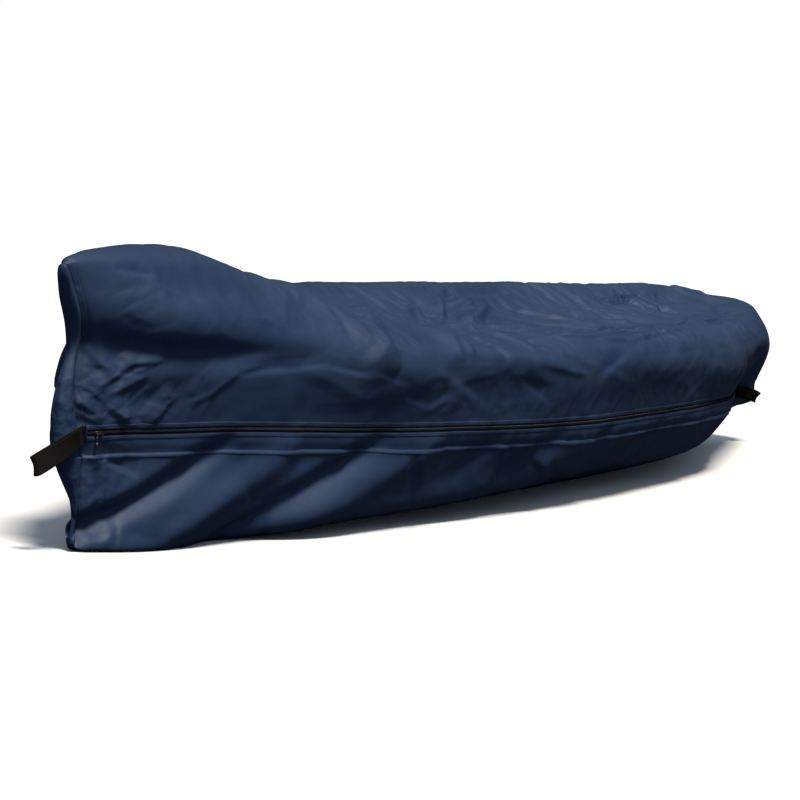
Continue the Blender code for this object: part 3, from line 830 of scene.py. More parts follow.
# %% A class for wiring nodes
class Wiring:
    """A tree of nodes that is being wired."""

    def __init__(self, tree):
        self.nodes, self.links = tree.nodes, tree.links

    def node(self, kind, settings=None, sockets=None, out=0):
        """Any node: its settings first, then the values or links of its sockets."""
        made = self.nodes.new(kind)
        for key, value in (settings or {}).items():
            if key == "stops":
                for n, (place, grey) in enumerate(value):
                    stop = made.color_ramp.elements[n] if n < 2 else made.color_ramp.elements.new(place)
                    stop.position, stop.color = place, (grey, grey, grey, 1)
            else:
                setattr(made, key, value)
        for key, value in (sockets or {}).items():
            self.feed(made.inputs[key], value)
        return Value(self, made.outputs[out])

    def feed(self, socket, value):
        """Links a value to a socket, or sets a number or colour on it."""
        if isinstance(value, Value):
            self.links.new(value.socket, socket)
        else:
            socket.default_value = value

    def math(self, operation, a, b=0.0):
        return self.node("ShaderNodeMath", {"operation": operation}, {0: a, 1: b})

    def mix(self, share, a, b):
        """Colours mixed by a share: the Mix node's colour sockets are its seventh and eighth."""
        return self.node("ShaderNodeMix", {"data_type": "RGBA"}, {0: share, 6: a, 7: b}, out=2)


class Finish(Wiring):
    """A material that is being wired, with its Principled shader."""

    def __init__(self, name, **constants):
        self.material = bpy.data.materials.new(name)
        self.material.use_nodes = True
        super().__init__(self.material.node_tree)
        self.shader = self.nodes["Principled BSDF"]
        self.set(**constants)

    def set(self, **links):
        """Feeds the shader's sockets, whose names are written with _ for a space."""
        for socket, value in links.items():
            self.feed(self.shader.inputs[socket.replace("_", " ")], value)
        return self.material

    def place(self, space="Object"):
        return self.node("ShaderNodeTexCoord", out=space)

    def split(self, vector):
        """The three numbers of a vector."""
        x = self.node("ShaderNodeSeparateXYZ", None, {0: vector})
        return x, *(Value(self, x.socket.node.outputs[k]) for k in (1, 2))

    def scaled(self, vector, scale):
        return self.node("ShaderNodeMapping", None, {"Vector": vector, "Scale": scale})

    def noise(self, vector, scale, detail=3.0, rough=0.5, out=0):
        return self.node("ShaderNodeTexNoise", None,
                         {"Vector": vector, "Scale": scale, "Detail": detail, "Roughness": rough}, out)

    def cells(self, vector, scale):
        """Distance from the nearest of scattered points: cones that meet in sharp lines."""
        return self.node("ShaderNodeTexVoronoi", {"feature": "F1"}, {"Vector": vector, "Scale": scale})

    def ramp(self, value, *stops):
        return self.node("ShaderNodeValToRGB", {"stops": stops}, {"Fac": value})

    def bump(self, height, distance, strength=1.0, normal=None):
        sockets = {"Height": height, "Distance": distance, "Strength": strength}
        if normal:
            sockets["Normal"] = normal
        return self.node("ShaderNodeBump", None, sockets)

    def wave(self, along, step):
        """A row of round threads: the absolute sine of the place, one hump for each step."""
        return abs(self.math("SINE", along * (math.pi / step)))


print("shader classes are ready")

# %% [markdown]
# ## Coated navy cloth
# The cloth is a plain weave with a rubbery coat: almost black-blue, with a satin sheen where it
# catches the light. Each layer of detail is at its own scale: threads of under a millimetre from
# the UV map, creases of a few centimetres, and a slow change of colour over the whole cover.

# %% Colours and sizes of the cloth's finish
NAVY_DEEP = (0.010, 0.033, 0.092, 1)
NAVY = (0.014, 0.039, 0.100, 1)
# a lighter tone: wear in random patches, and a painted highlight on the thread tops
NAVY_WORN_AND_THREAD_SHEEN = (0.034, 0.058, 0.110, 1)
THREAD_STEP = 0.0009
THREAD_BUMP = 0.00016
CREASE_BUMP = 0.0180
WARP = 0.05               # how far noise shifts the small creases, so that none is straight
print(f"one thread every {THREAD_STEP * 1000} mm")


# %% Relief of the small creases
def small_creases(f, at, drawn_out):
    """Height of the creases that are finer than the net: cones round scattered points meet in
    sharp lines, and noise folded at its middle adds bent ones. They show in patches on the top,
    away from the slack end, and beside its loop. A ramp reads from 0 to 1, so X is moved first."""
    warp = f.node("ShaderNodeVectorMath", {"operation": "SCALE"},
                  {0: f.noise(at, 5.0, 2.0, out=1), "Scale": WARP})
    bent = f.node("ShaderNodeVectorMath", {"operation": "ADD"},
                  {0: f.scaled(at, (1, 0.45, 1)), 1: warp})
    lines = abs(f.noise(drawn_out, 13.0, 3.0, 0.55) - 0.5)
    relief = f.cells(bent, 11.0) * 0.55 + f.cells(bent, 30.0) * 0.40 + lines * 1.2
    patches = f.ramp(f.noise(drawn_out, 2.6, 2.0, 0.5), (0.42, 0.12), (0.60, 1))
    x, _, height = f.split(at)
    by_strap = f.ramp(0.70 - height, (0.30, 0), (0.36, 1)) * f.ramp(x + 2.50, (0.04, 1), (0.22, 0))
    off_the_end = f.ramp(x + 2.0, (0.30, 0.12), (0.80, 1.0))
    on_top = f.ramp(height, (0.39, 0.15), (0.44, 1.0)) * off_the_end * 1.5 + by_strap * 0.65
    return relief * patches * on_top


# %% Make the cloth's finish
def coated_cloth(name, deep, plain, worn_and_sheen):
    """Coated plain weave. Colour: slow noise between deep and plain, a tone of wear on drawn-out
    noise, and the same lighter tone on the thread tops, a painted highlight, with random speckle.
    Bump: threads along U and V, one over the other in turn, on the small creases."""
    f = Finish(name, Specular_IOR_Level=0.55)
    at = f.place()
    u, v, _ = f.split(f.place("UV"))
    drawn_out = f.scaled(at, (0.45, 1, 1))
    weave = f.wave(u, THREAD_STEP) * f.wave(v, THREAD_STEP)
    speckle = f.noise(at, 900.0, 1.0)
    slow = f.noise(at, 1.7, 3.0)
    rub = f.ramp(f.noise(drawn_out, 6.0, 5.0, 0.6), (0.42, 0), (0.68, 1))
    colour = f.mix(f.ramp(slow, (0.35, 0), (0.65, 1)), deep, plain)
    colour = f.mix(rub * 0.22, colour, worn_and_sheen)
    # painted highlight: the thread tops of the weave are drawn lighter, with random speckle
    colour = f.mix((weave + speckle) * 0.06, colour, worn_and_sheen)
    rough = 0.56 + rub * 0.06 + speckle * 0.05 + slow * 0.05
    creased = f.bump(small_creases(f, at, drawn_out), CREASE_BUMP, 0.70)
    woven = f.bump(weave, THREAD_BUMP, 0.35, creased)
    return f.set(Base_Color=colour, Roughness=rough, Normal=woven)


cloth_finish = coated_cloth("coated_navy_cloth", NAVY_DEEP, NAVY, NAVY_WORN_AND_THREAD_SHEEN)
print("finish:", cloth_finish.name)

# %% [markdown]
# ## Cut the net into panels
# Each panel is a window of the net. Neighbouring panels share the line of points on their seam, so
# no gap opens between them. The UV map is in metres, so the weave has one scale everywhere.

# %% Mesh helpers
def placed(name, data):
    """A new object of some data, linked to the scene."""
    thing = bpy.data.objects.new(name, data)
    bpy.context.scene.collection.objects.link(thing)
    return thing


def make_piece(name, points, faces, finish, uv=None, flat=False):
    """A mesh object from arrays: points (n, 3), faces (m, corners), and uv for each corner."""
    mesh = bpy.data.meshes.new(name)
    if not isinstance(faces, list):
        faces = faces.tolist()
    mesh.from_pydata(points.reshape(-1, 3).tolist(), [], faces)
    mesh.materials.append(finish)
    if uv is not None:
        mesh.uv_layers.new(name="metres").data.foreach_set("uv", uv.reshape(-1).astype("f4"))
    if not flat:
        mesh.shade_smooth()
    piece = placed(name, mesh)
    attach(piece, "root")
    return piece


def quads(lines, rows):
    """Corner numbers of the quads of a grid, with the outward side to the outside of the net."""
    n = np.arange(lines * rows).reshape(lines, rows)
    return np.stack((n[:-1, :-1], n[1:, :-1], n[1:, 1:], n[:-1, 1:]), axis=-1).reshape(-1, 4)


def metre_map(grid):
    """UV of a grid in metres: lengths summed along its middle row and along each line."""
    middle = grid.shape[1] // 2
    v = run(grid)
    v -= v[:, middle : middle + 1]
    return np.stack((run(grid[:, middle])[:, None] + 0 * v, v), axis=-1)


def grid_piece(name, grid, finish, ring=False):
    """A sheet from a grid of points. A ring is closed by its first row once more, and the two are
    then one row of points, with a UV of its own on each side."""
    if ring:
        grid = np.concatenate((grid, grid[:, :1]), axis=1)
    uv, faces = metre_map(grid), quads(*grid.shape[:2])
    corners = uv.reshape(-1, 2)[faces]
    if ring:
        lines, rows = grid.shape[:2]
        number = np.arange(lines * (rows - 1)).reshape(lines, rows - 1)
        faces = np.hstack((number, number[:, :1])).reshape(-1)[faces]
        grid = grid[:, :-1]
    return make_piece(name, grid, faces, finish, corners)


def area_of(piece):
    """Area of a mesh: its faces' areas added up."""
    return sum(face.area for face in piece.data.polygons)


# %% Close the ends
END_RINGS = 8
SLACK_END_BULGE = 0.003
FILLED_END_BULGE = 0.012


def close_end(line, out, bulge, middle):
    """Rings that close a tube's end: each has the end line's heights, and its widths shrink to the
    middle one. It stands out by the bulge times 1 less the square of the width's share, times
    half a sine wave from the lowest point to the highest."""
    share = 1 - np.linspace(0, 1, END_RINGS + 1)[1:, None]
    height = (line[:, 2] - line[:, 2].min()) / np.ptp(line[:, 2])
    rings = np.repeat(line[None], END_RINGS, axis=0)
    rings[..., 1] = middle + share * (rings[..., 1] - middle)
    rings[..., 0] += out * bulge * (1 - share**2) * np.sin(math.pi * height)
    return rings


body_net = cloth_net[FIRST : LAST + 1]
slack_middle = through(LEAN, cloth_net[0, :, 2])[1]
slack_rings = close_end(cloth_net[0], -1, SLACK_END_BULGE, slack_middle)
filled_rings = close_end(cloth_net[-1], 1, FILLED_END_BULGE, 0.0)
print("rings that close the ends:", len(slack_rings) + len(filled_rings))

# %% Cut the panels
PANELS = {
    # name: its part of the net, whether that is a ring, the node that it stands for
    "upper_cloth": (body_net[:, : FAR_SEAM_ROW + 1], False, "upper_panel"),
    "lower_cloth": (body_net[:, FAR_SEAM_ROW : PLACKET_SEAM_ROW + 1], False, "lower_panel"),
    "placket_cloth": (body_net[:, PLACKET_SEAM_ROW : ZIP_LOWER_ROW + 1], False, "zip_placket"),
    "slack_end_cloth": (
        np.concatenate((slack_rings[::-1], cloth_net[: FIRST + 1])), True, "slack_end_panel"),
    "filled_end_cloth": (
        np.concatenate((cloth_net[LAST:], filled_rings)), True, "filled_end_panel"),
}
panels = {}
for name, (part, ring, node) in PANELS.items():
    panels[name] = piece = grid_piece(name, part, cloth_finish, ring)
    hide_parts(node)
    print(f"{name}: {area_of(piece):.3f} square metres, {len(piece.data.polygons) * 2} triangles")

# %% [markdown]
# ## Laps and stitches
# Every seam of the real cover is lapped: one edge lies folded over the other and two rows of thread
# hold it. A displaced texture could show this, but it would blur close up, so both are real shapes:
# a lap is a narrow strip that follows the seam, and a stitch is a spindle of eight faces.

# %% Lines beside a seam
SEAM_WINDOW = 15          # rows to both sides among which a line beside a seam is looked for


def beside(net, row, offset):
    """The line that runs that far from one of the net's rows: lengths are summed along the cloth
    from the row, and the place is read off between the two points around it."""
    window = np.take(net, range(row - SEAM_WINDOW, row + SEAM_WINDOW + 1), axis=1, mode="wrap")
    length = run(window)
    length -= length[:, SEAM_WINDOW : SEAM_WINDOW + 1]
    k = np.clip((length < offset).sum(axis=1) - 1, 0, 2 * SEAM_WINDOW - 1)
    here = np.arange(len(net))
    t = (offset - length[here, k]) / (length[here, k + 1] - length[here, k])
    return window[here, k] + t[:, None] * (window[here, k + 1] - window[here, k])


def axes_of(line, other):
    """Three axes at each point of a line: along it, across it towards the other line, and out."""
    along = unit(np.gradient(line, axis=0))
    out = unit(np.cross(along, other - line))
    return np.stack((along, np.cross(out, along), out), axis=1)


def spaced(lines, step):
    """The same lines, read again at equal steps along the first of them."""
    length = run(lines[0])
    count = max(2, round(length[-1] / step))
    wanted = (np.arange(count) + 0.5) * length[-1] / count
    return [np.stack([np.interp(wanted, length, column) for column in line.T], axis=-1)
            for line in lines]


print("a line beside a seam is read off", 2 * SEAM_WINDOW + 1, "rows")

# %% Laps and stitches along a line
LAP_HEIGHTS = (-0.0004, 0.0007, 0.0011, 0.0012, 0.0011, 0.0007, -0.0004)
LAP_SHARES = (0.0, 0.04, 0.16, 0.50, 0.84, 0.96, 1.0)
LAP_UNEVEN = (0.3, 0.02, 6)   # share of its height, length and seed
STITCH_STEP = 0.0036
STITCH_RISE = 0.0011
STITCH_SIZE = (0.0029, 0.00075, 0.00045)
NEXT_LINE = 0.002         # how far off a second line runs, which shows a stitch its outward side


def lap_grid(net, row, start, end):
    """A raised strip beside a row, from one distance to another: its edges dip just under the
    cloth and its back stands a cloth's thickness over it, a little uneven between stitches."""
    lines = [beside(net, row, start + share * (end - start)) for share in LAP_SHARES]
    out = axes_of(lines[0], lines[-1])[:, 2]
    share, length, seed = LAP_UNEVEN
    rise = 1 + share * grain(lines[0], length, seed)[:, None]
    return np.stack([line + h * rise * out for line, h in zip(lines, LAP_HEIGHTS)], axis=1)


def stitch_places(net, row, offset, side):
    """Places and axes of the stitches of one row of thread, that far from a row of the net."""
    pair = beside(net, row, offset), beside(net, row, offset + side * NEXT_LINE)
    line, other = spaced(pair, STITCH_STEP)
    axes = axes_of(line, other)
    return line + STITCH_RISE * axes[:, 2], axes


def repeated(name, shape, faces, places, axes, finish):
    """Copies of one small shape: at each place, its points laid out along that place's axes."""
    points = places[:, None] + np.einsum("kc,ncd->nkd", shape, axes)
    numbers = faces[None] + len(shape) * np.arange(len(places))[:, None, None]
    return make_piece(name, points, numbers.reshape(-1, faces.shape[1]), finish)


print("stitches are", STITCH_SIZE[0] * 1000, "mm long")

# %% [markdown]
# ## Thread, webbing, tape and metal
# The small parts are of five materials, none of them plain: thread is twisted, webbing and zip tape
# are woven with ribs that catch the light, in their bump and in a painted highlight on the ribs with
# painted shade between them; the coil is rubbed nylon, and the slider is plated metal with fine
# scratches. Each is one short function, so that its numbers stand next to what they do.

# %% Thread
def sewing_thread(name):
    """Twisted thread, nearly as dark as the cloth: noise between two tones."""
    f = Finish(name, Roughness=0.55)
    twist = f.noise(f.place(), 400.0)
    return f.set(Base_Color=f.mix(twist, (0.012, 0.022, 0.050, 1), (0.030, 0.045, 0.085, 1)))


thread_finish = sewing_thread("sewing_thread")
print("finish:", thread_finish.name)

# %% Webbing and zip tape
RIB = 0.0024              # from one rib of the webbing to the next
PICK = 0.0013
TAPE_RIB = 0.0008
TAPE_TURN = 0.0030        # the tape's ribs lean the other way after this much


def webbing(name):
    """Flat woven webbing: ribs across its width and finer picks along it that bend from rib to
    rib. Its colour is lighter on the ribs and darker in the hollows, a painted highlight and painted
    shade, with a little dust tone at random."""
    f = Finish(name, Specular_IOR_Level=0.2)
    u, v, _ = f.split(f.place("UV"))
    weave = f.wave(v, RIB) * 0.6 + f.wave(u + f.wave(v, 2 * RIB) * PICK, PICK) * 0.4
    dust = f.noise(f.place(), 60.0, 4.0)
    # painted highlight and shade: lighter on the ribs and picks, darker in the hollows, with random
    # dust
    colour = f.mix(weave * 0.7 + dust * 0.3, (0.0015, 0.0013, 0.0011, 1), (0.0070, 0.0058, 0.0048, 1))
    return f.set(Base_Color=colour, Roughness=0.62 + dust * 0.2, Normal=f.bump(weave, 0.0005, 0.9))


def zip_tape(name):
    """Herringbone zip tape: fine ribs along U, leaning one way and the other in turns along V. The
    ribs are painted lighter and the grooves darker, a painted highlight and painted shade, with
    random dust.
    """
    f = Finish(name, Specular_IOR_Level=0.3)
    u, v, _ = f.split(f.place("UV"))
    ribs = f.wave(u + f.wave(v, TAPE_TURN) * (TAPE_TURN / 2), TAPE_RIB)
    dust = f.noise(f.place(), 30.0, 4.0)
    # painted highlight and shade: lighter on the ribs, darker in the grooves, with random dust
    colour = f.mix(ribs * 0.6 + dust * 0.4, (0.0035, 0.0042, 0.0050, 1), (0.0120, 0.0140, 0.0160, 1))
    return f.set(Base_Color=colour, Roughness=0.66 + dust * 0.2, Normal=f.bump(ribs, 0.0002, 0.7))


webbing_finish = webbing("black_webbing")
tape_finish = zip_tape("black_zip_tape")
print("finishes:", webbing_finish.name, "and", tape_finish.name)


# %% Nylon and metal
def nylon(name):
    """Black nylon of the zip's coil: smooth, with rubbed lighter patches at random."""
    f = Finish(name)
    rub = f.noise(f.place(), 90.0, 3.0)
    colour = f.mix(rub, (0.0036, 0.0050, 0.0070, 1), (0.0100, 0.0130, 0.0175, 1))
    return f.set(Base_Color=colour, Roughness=0.30 + rub * 0.25)


def metal(name, dark, bright):
    """Plated metal: fine scratches drawn out along X, and wear that brightens it in patches."""
    f = Finish(name, Metallic=0.9)
    at = f.place()
    scratches = f.noise(f.scaled(at, (0.2, 1.0, 1.0)), 1400.0, 2.0)
    wear = f.ramp(f.noise(at, 240.0, 4.0, 0.6), (0.45, 0), (0.65, 1))
    colour = f.mix(wear * 0.7 + scratches * 0.3, dark, bright)
    return f.set(Base_Color=colour, Roughness=0.28 + scratches * 0.25,
                 Normal=f.bump(scratches, 0.00004, 0.6))


coil_finish = nylon("black_nylon_coil")
slider_finish = metal("gunmetal", (0.050, 0.050, 0.055, 1), (0.22, 0.22, 0.23, 1))
rivet_finish = metal("bright_nickel", (0.45, 0.45, 0.45, 1), (0.80, 0.80, 0.78, 1))
print("finishes:", len(bpy.data.materials))

# %% [markdown]
# ## Sew the seams
# Six seams hold the cover together: two along the zip, one under the strip below it, one along the
# far side, and one round each end. All are sewn alike, so one table says where each lap lies and
# where its two rows of thread run, and the same two functions make them all.

# %% A table of seams
ring_net = np.concatenate((cloth_net, cloth_net[:, :1]), axis=1).transpose(1, 0, 2)
SEAMS = {
    # name: the net and its row, the lap's two edges from the seam, the side that the thread's
    # second line is on, and how far from the seam its two rows run, in metres
    "zip_upper": (body_net, 0, (0.0, 0.0105), 1, (0.0026, 0.0082)),
    "zip_lower": (body_net, ZIP_LOWER_ROW, (-0.0095, 0.0), 1, (-0.0072, -0.0024)),
    "placket": (body_net, PLACKET_SEAM_ROW, (-0.0130, 0.0010), 1, (-0.0022, -0.0098)),
    "far": (body_net, FAR_SEAM_ROW, (-0.0130, 0.0010), 1, (-0.0022, -0.0098)),
    "slack_end": (ring_net, FIRST, (0.0120, -0.0010), -1, (0.0022, 0.0095)),
    "filled_end": (ring_net, LAST, (0.0010, -0.0120), -1, (-0.0022, -0.0095)),
}
SPINDLE = 0.5 * np.array(((-1, 0, 0), (1, 0, 0), (0, -1, 0), (0, 1, 0), (0, 0, -1), (0, 0, 2)))
SPINDLE_FACES = np.array(((0, 4, 2), (0, 3, 4), (0, 5, 3), (0, 2, 5),
                          (1, 2, 4), (1, 4, 3), (1, 3, 5), (1, 5, 2)))
print("seams:", ", ".join(SEAMS))

# %% Lay the laps and sew the rows of thread
for seam, (on, row, edges, _, _) in SEAMS.items():
    name = seam + "_lap"
    grid_piece(name, lap_grid(on, row, *edges), cloth_finish)
for seam, (on, row, _, side, distances) in SEAMS.items():
    found = [stitch_places(on, row, distance, side) for distance in distances]
    places, axes = (np.concatenate(part) for part in zip(*found))
    repeated(seam + "_stitches", SPINDLE * STITCH_SIZE, SPINDLE_FACES, places, axes, thread_finish)
    print(f"{seam}: {len(places)} stitches")

# %% [markdown]
# ## The zip
# A coil zip is two nylon spirals sewn on two tapes. From the front it reads as one chain of short
# bars that come from the left and the right in turn, so that is what is repeated along its middle.

# %% Tape
TAPE_SHARES = (0.0, 0.07, 0.20, 0.34, 0.50, 0.66, 0.80, 0.93, 1.0)
TAPE_HEIGHTS = (0.0, -0.0003, -0.0003, 0.0, 0.0002, 0.0, -0.0003, -0.0003, 0.0)

lower_edge, upper_edge = body_net[:, ZIP_LOWER_ROW], body_net[:, 0]
out = axes_of(lower_edge, upper_edge)[:, 2]
tape_lines = [(1 - t) * lower_edge + t * upper_edge + h * out
              for t, h in zip(TAPE_SHARES, TAPE_HEIGHTS)]
tape = grid_piece("zip_tape", np.stack(tape_lines, axis=1), tape_finish)
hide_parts("zip")
print(f"tape: {np.linalg.norm(upper_edge - lower_edge, axis=1).mean() * 1000:.1f} mm wide")

# %% Coil
TOOTH_STEP = 0.0028       # between two bars of one side
TOOTH_RINGS = (
    # a bar's four sections: place across the zip, height, half of its width
    (-0.0034, 0.0006, 0.00030), (-0.0030, 0.0019, 0.00055),
    (0.0004, 0.0019, 0.00060), (0.0010, 0.0010, 0.00034),
)
TOOTH_BACK = 0.6          # its back is that much narrower than its foot
TOOTH = np.array([(side * half, across, z) for across, height, half in TOOTH_RINGS
                  for side, z in ((-1, 0.0), (1, 0.0), (TOOTH_BACK, height), (-TOOTH_BACK, height))])
TOOTH_FACES = np.array([(k + a, k + b, k + b + 4, k + a + 4)
                        for k in (0, 4, 8) for a, b in ((0, 1), (1, 2), (2, 3), (3, 0))]
                       + [(3, 2, 1, 0), (12, 13, 14, 15)])

middle_line = (lower_edge + upper_edge) / 2
bars, bars_up = spaced((middle_line, upper_edge), TOOTH_STEP / 2)
bar_axes = axes_of(bars, bars_up)
bar_axes[1::2, :2] *= -1
chain = repeated("zip_chain", TOOTH, TOOTH_FACES, bars, bar_axes, coil_finish)
print(f"zip: {len(bars)} bars, {len(chain.data.polygons) * 2} triangles")

# %% [markdown]
# ## Slider and pull
# The slider is cast metal: two plates on a post, with a bridge that holds the pull. It could be one
# bevelled block, but its two plates and the gap between them show even from far away.

# %% Small solids
def stacked_faces(count, sides):
    """Faces of a solid made of so many rings with so many points each, and a cap at both ends."""
    k = np.arange(sides)
    round_it = np.stack((k, (k + 1) % sides, (k + 1) % sides + sides, k + sides), axis=-1)
    walls = [round_it + r * sides for r in range(count - 1)]
    return np.concatenate(walls).tolist() + [list(k[::-1]), list(k + (count - 1) * sides)]


def prism(outline, levels):
    """A solid over a plane outline: at each level the outline moves in by that inset and up to that
    height. Returns the points and the faces."""
    edge = np.roll(outline, -1, axis=0) - np.roll(outline, 1, axis=0)
    outwards = unit(np.stack((edge[:, 1], -edge[:, 0]), axis=-1))
    n = len(outline)
    points = np.concatenate([np.hstack((outline - inset * outwards, np.full((n, 1), z)))
                             for inset, z in levels])
    return points, stacked_faces(len(levels), n)


BEVEL = 0.0004


def plate(outline, low, high):
    """A prism from one height to another, with bevelled edges."""
    return prism(outline, ((BEVEL, low), (0, low + BEVEL), (0, high - BEVEL), (BEVEL, high)))


def oval(length, width, power, count=28, narrower=0.0):
    """A rounded plane outline: a circle raised to a power below 1, which squares it, and narrower
    by that share at its +X end."""
    angle = np.linspace(0, 2 * math.pi, count, endpoint=False)
    c, s = np.cos(angle), np.sin(angle)
    x, y = np.sign(c) * np.abs(c) ** power, np.sign(s) * np.abs(s) ** power
    return np.stack((x * length / 2, y * width / 2 * (1 - narrower * (x + 1) / 2)), axis=-1)


ASKEW = (0.13, 0.31, 0.94)   # a direction that no rod here runs in


def rod(path, radius, sides=8):
    """A round bar along a path, with capped ends: rings square to the path."""
    along = unit(np.gradient(path, axis=0))
    first = unit(np.cross(along, ASKEW))
    second = np.cross(along, first)
    angle = np.linspace(0, 2 * math.pi, sides, endpoint=False)[:, None, None]
    rings = path + radius * (np.cos(angle) * first + np.sin(angle) * second)
    points = rings.transpose(1, 0, 2).reshape(-1, 3)
    return points, stacked_faces(len(path), sides)


def joined(name, solids, origin, axes, finish):
    """One piece from several small solids, laid out along three axes at a place."""
    points, faces, count = [], [], 0
    for some_points, some_faces in solids:
        points.append(origin + some_points @ axes)
        faces += [[count + n for n in face] for face in some_faces]
        count += len(some_points)
    return make_piece(name, np.concatenate(points), faces, finish, flat=True)


print("a prism of two levels has", len(prism(oval(1, 1, 1), ((0, 0), (0, 1)))[1]), "faces")

# %% Make the slider
SLIDER_X = -2.430
SLIDER_SEAT = 0.0018
SLIDER_HEIGHT = 0.0040
PLATE = 0.0011            # thickness of each of its plates
PLATE_SIZE = (0.0200, 0.0105, 0.55)   # length, width, and power: below 1 is squarer
PLATE_NARROWER = 0.25
POST_SIZE = (0.0060, 0.0030, 1.0)
POST_AT = 0.0055
BURIED = 0.0002           # where two solids meet, one reaches this far into the other
BRIDGE_AT, BRIDGE_HALF, BRIDGE_RISE, BRIDGE_FOOT = -0.0015, 0.0060, 0.0022, 0.0006
BRIDGE_THICK = 0.0009

at_slider = np.argmin(np.abs(middle_line[:, 0] - CENTRE_SHIFT - SLIDER_X))
slider_axes = axes_of(middle_line, upper_edge)[at_slider]
seat = middle_line[at_slider] + SLIDER_SEAT * slider_axes[2]
arch = np.linspace(0, math.pi, 13)
bridge = np.stack((BRIDGE_AT - BRIDGE_HALF * np.cos(arch), 0 * arch,
                   SLIDER_HEIGHT - BRIDGE_FOOT + BRIDGE_RISE * np.sin(arch)), axis=-1)
plate_outline = oval(*PLATE_SIZE, narrower=PLATE_NARROWER)
slider_solids = [
    plate(plate_outline, 0, PLATE),
    plate(plate_outline, SLIDER_HEIGHT - PLATE, SLIDER_HEIGHT),
    prism(oval(*POST_SIZE, 16) - (POST_AT, 0),
          ((0, PLATE - BURIED), (0, SLIDER_HEIGHT - PLATE + BURIED))),
    rod(bridge, BRIDGE_THICK),
]
slider_body = joined("slider_body", slider_solids, seat, slider_axes, slider_finish)
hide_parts("zip_slider")
print("slider sits at", seat.round(3))

# %% Make its pull
PULL_FORWARD = -0.006
PULL_LIFT = 0.0012
PULL_TAB = (0.0225, 0.0075, 0.0016)
PULL_SQUARE = 0.6
PULL_DOWN = 0.0060
RING_AT, RING_DEEP, RING_WIDE, RING_THICK = -0.0026, 0.0034, 0.0014, 0.0007
RIVET_SIZE = (0.0044, 0.0044, 1.0)
RIVET_LEVELS = ((0, 0.0), (0, 0.0007), (0.0005, 0.0011))
RIVET_DOWN = 0.0210

turn_round = np.linspace(0, 2 * math.pi, 21)
ring = np.stack((0 * turn_round, RING_AT + RING_DEEP * np.sin(turn_round),
                 RING_WIDE * np.cos(turn_round)), axis=-1)
length, width, thick = PULL_TAB
tab, tab_faces = plate(oval(length, width, PULL_SQUARE), 0, thick)
tab = tab[:, (1, 0, 2)] * (1, -1, 1) - (0, PULL_DOWN + length / 2, thick / 2)
hang = seat + (PULL_FORWARD, 0, SLIDER_HEIGHT + PULL_LIFT) @ slider_axes
pull_solids = [(tab, tab_faces), rod(ring, RING_THICK)]
pull = joined("pull_tab", pull_solids, hang, slider_axes, slider_finish)
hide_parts("zip_pull")
dot = prism(oval(*RIVET_SIZE, 20), RIVET_LEVELS)
dot_at = hang + (0, -RIVET_DOWN, thick / 2 - BURIED) @ slider_axes
rivet = joined("pull_rivet", [dot], dot_at, slider_axes, rivet_finish)
print("the pull hangs from", hang.round(3))

# %% [markdown]
# ## Loops of webbing
# Each loop is one strap, folded back on itself and caught in the end seam. It is swept from a
# table of places. Its section is that of real webbing: flat, with a thicker selvage at both edges.

# %% Routes of the loops
WEBBING = 0.0018
WEBBING_WIDTH = 0.038
LOOP_STATIONS = 150
SLACK_STRAP = (
    # x, y, z, and how far the strap's width is tilted from upright
    (-2.4665, -.0357, .240, .00), (-2.4800, -.0347, .236, .00), (-2.4960, -.0317, .229, .03),
    (-2.5140, -.0234, .218, .12), (-2.5370, -.0079, .201, .22), (-2.5580, .0091, .184, .30),
    (-2.5680, .0151, .177, .30), (-2.5740, .0141, .174, .30), (-2.5760, .0081, .174, .30),
    (-2.5700, .0021, .179, .30), (-2.5460, -.0154, .198, .22), (-2.5190, -.0304, .216, .12),
    (-2.4980, -.0374, .229, .03), (-2.4800, -.0391, .236, .00), (-2.4620, -.0391, .240, .00),
)
FILLED_STRAP = (
    (2.3250, -.0783, .174, -.12), (2.3400, -.0818, .173, -.12), (2.3560, -.0913, .171, -.12),
    (2.3740, -.1013, .167, -.15), (2.3920, -.1093, .162, -.30), (2.4050, -.1153, .158, -.50),
    (2.4110, -.1188, .156, -.60), (2.4130, -.1228, .155, -.65), (2.4090, -.1268, .156, -.60),
    (2.4000, -.1268, .159, -.50), (2.3850, -.1198, .164, -.30), (2.3670, -.1088, .169, -.15),
    (2.3510, -.0978, .172, -.12), (2.3370, -.0883, .173, -.12), (2.3230, -.0823, .174, -.12),
)
print("rows of the two routes:", len(SLACK_STRAP), "and", len(FILLED_STRAP))


# %% Sweep the loops
SELVAGE = 0.00025         # how much thicker the webbing is beside its edges,
SELVAGE_AT = 0.93         # at this share of its half width,
SELVAGE_REACH = 0.04      # over this share
EDGE_POWER = 24           # how squarely its edges end
BARTACK_AT = (0.90, 0.925)
BARTACK_HALF = 0.42       # its half length as a share of the width
BARTACK_STITCHES = 15
BARTACK_SIZE = (0.0040, 0.0010, 0.0006)
BARTACK_RISE = 0.0002


def loop_frames(route):
    """Middle line and axes of a loop: the route's rows read on a smooth curve by their number."""
    numbered = np.column_stack((np.arange(len(route)), route))
    x, y, z, tilt = through(numbered, np.linspace(0, len(route) - 1, LOOP_STATIONS))
    middle = np.stack((x + CENTRE_SHIFT, y, z), axis=-1)
    along = unit(np.gradient(middle, axis=0))
    up = np.stack((0 * tilt, np.sin(tilt), np.cos(tilt)), axis=-1)
    up = unit(up - np.sum(along * up, axis=1, keepdims=True) * along)
    return middle, np.stack((along, up, np.cross(along, up)), axis=1)


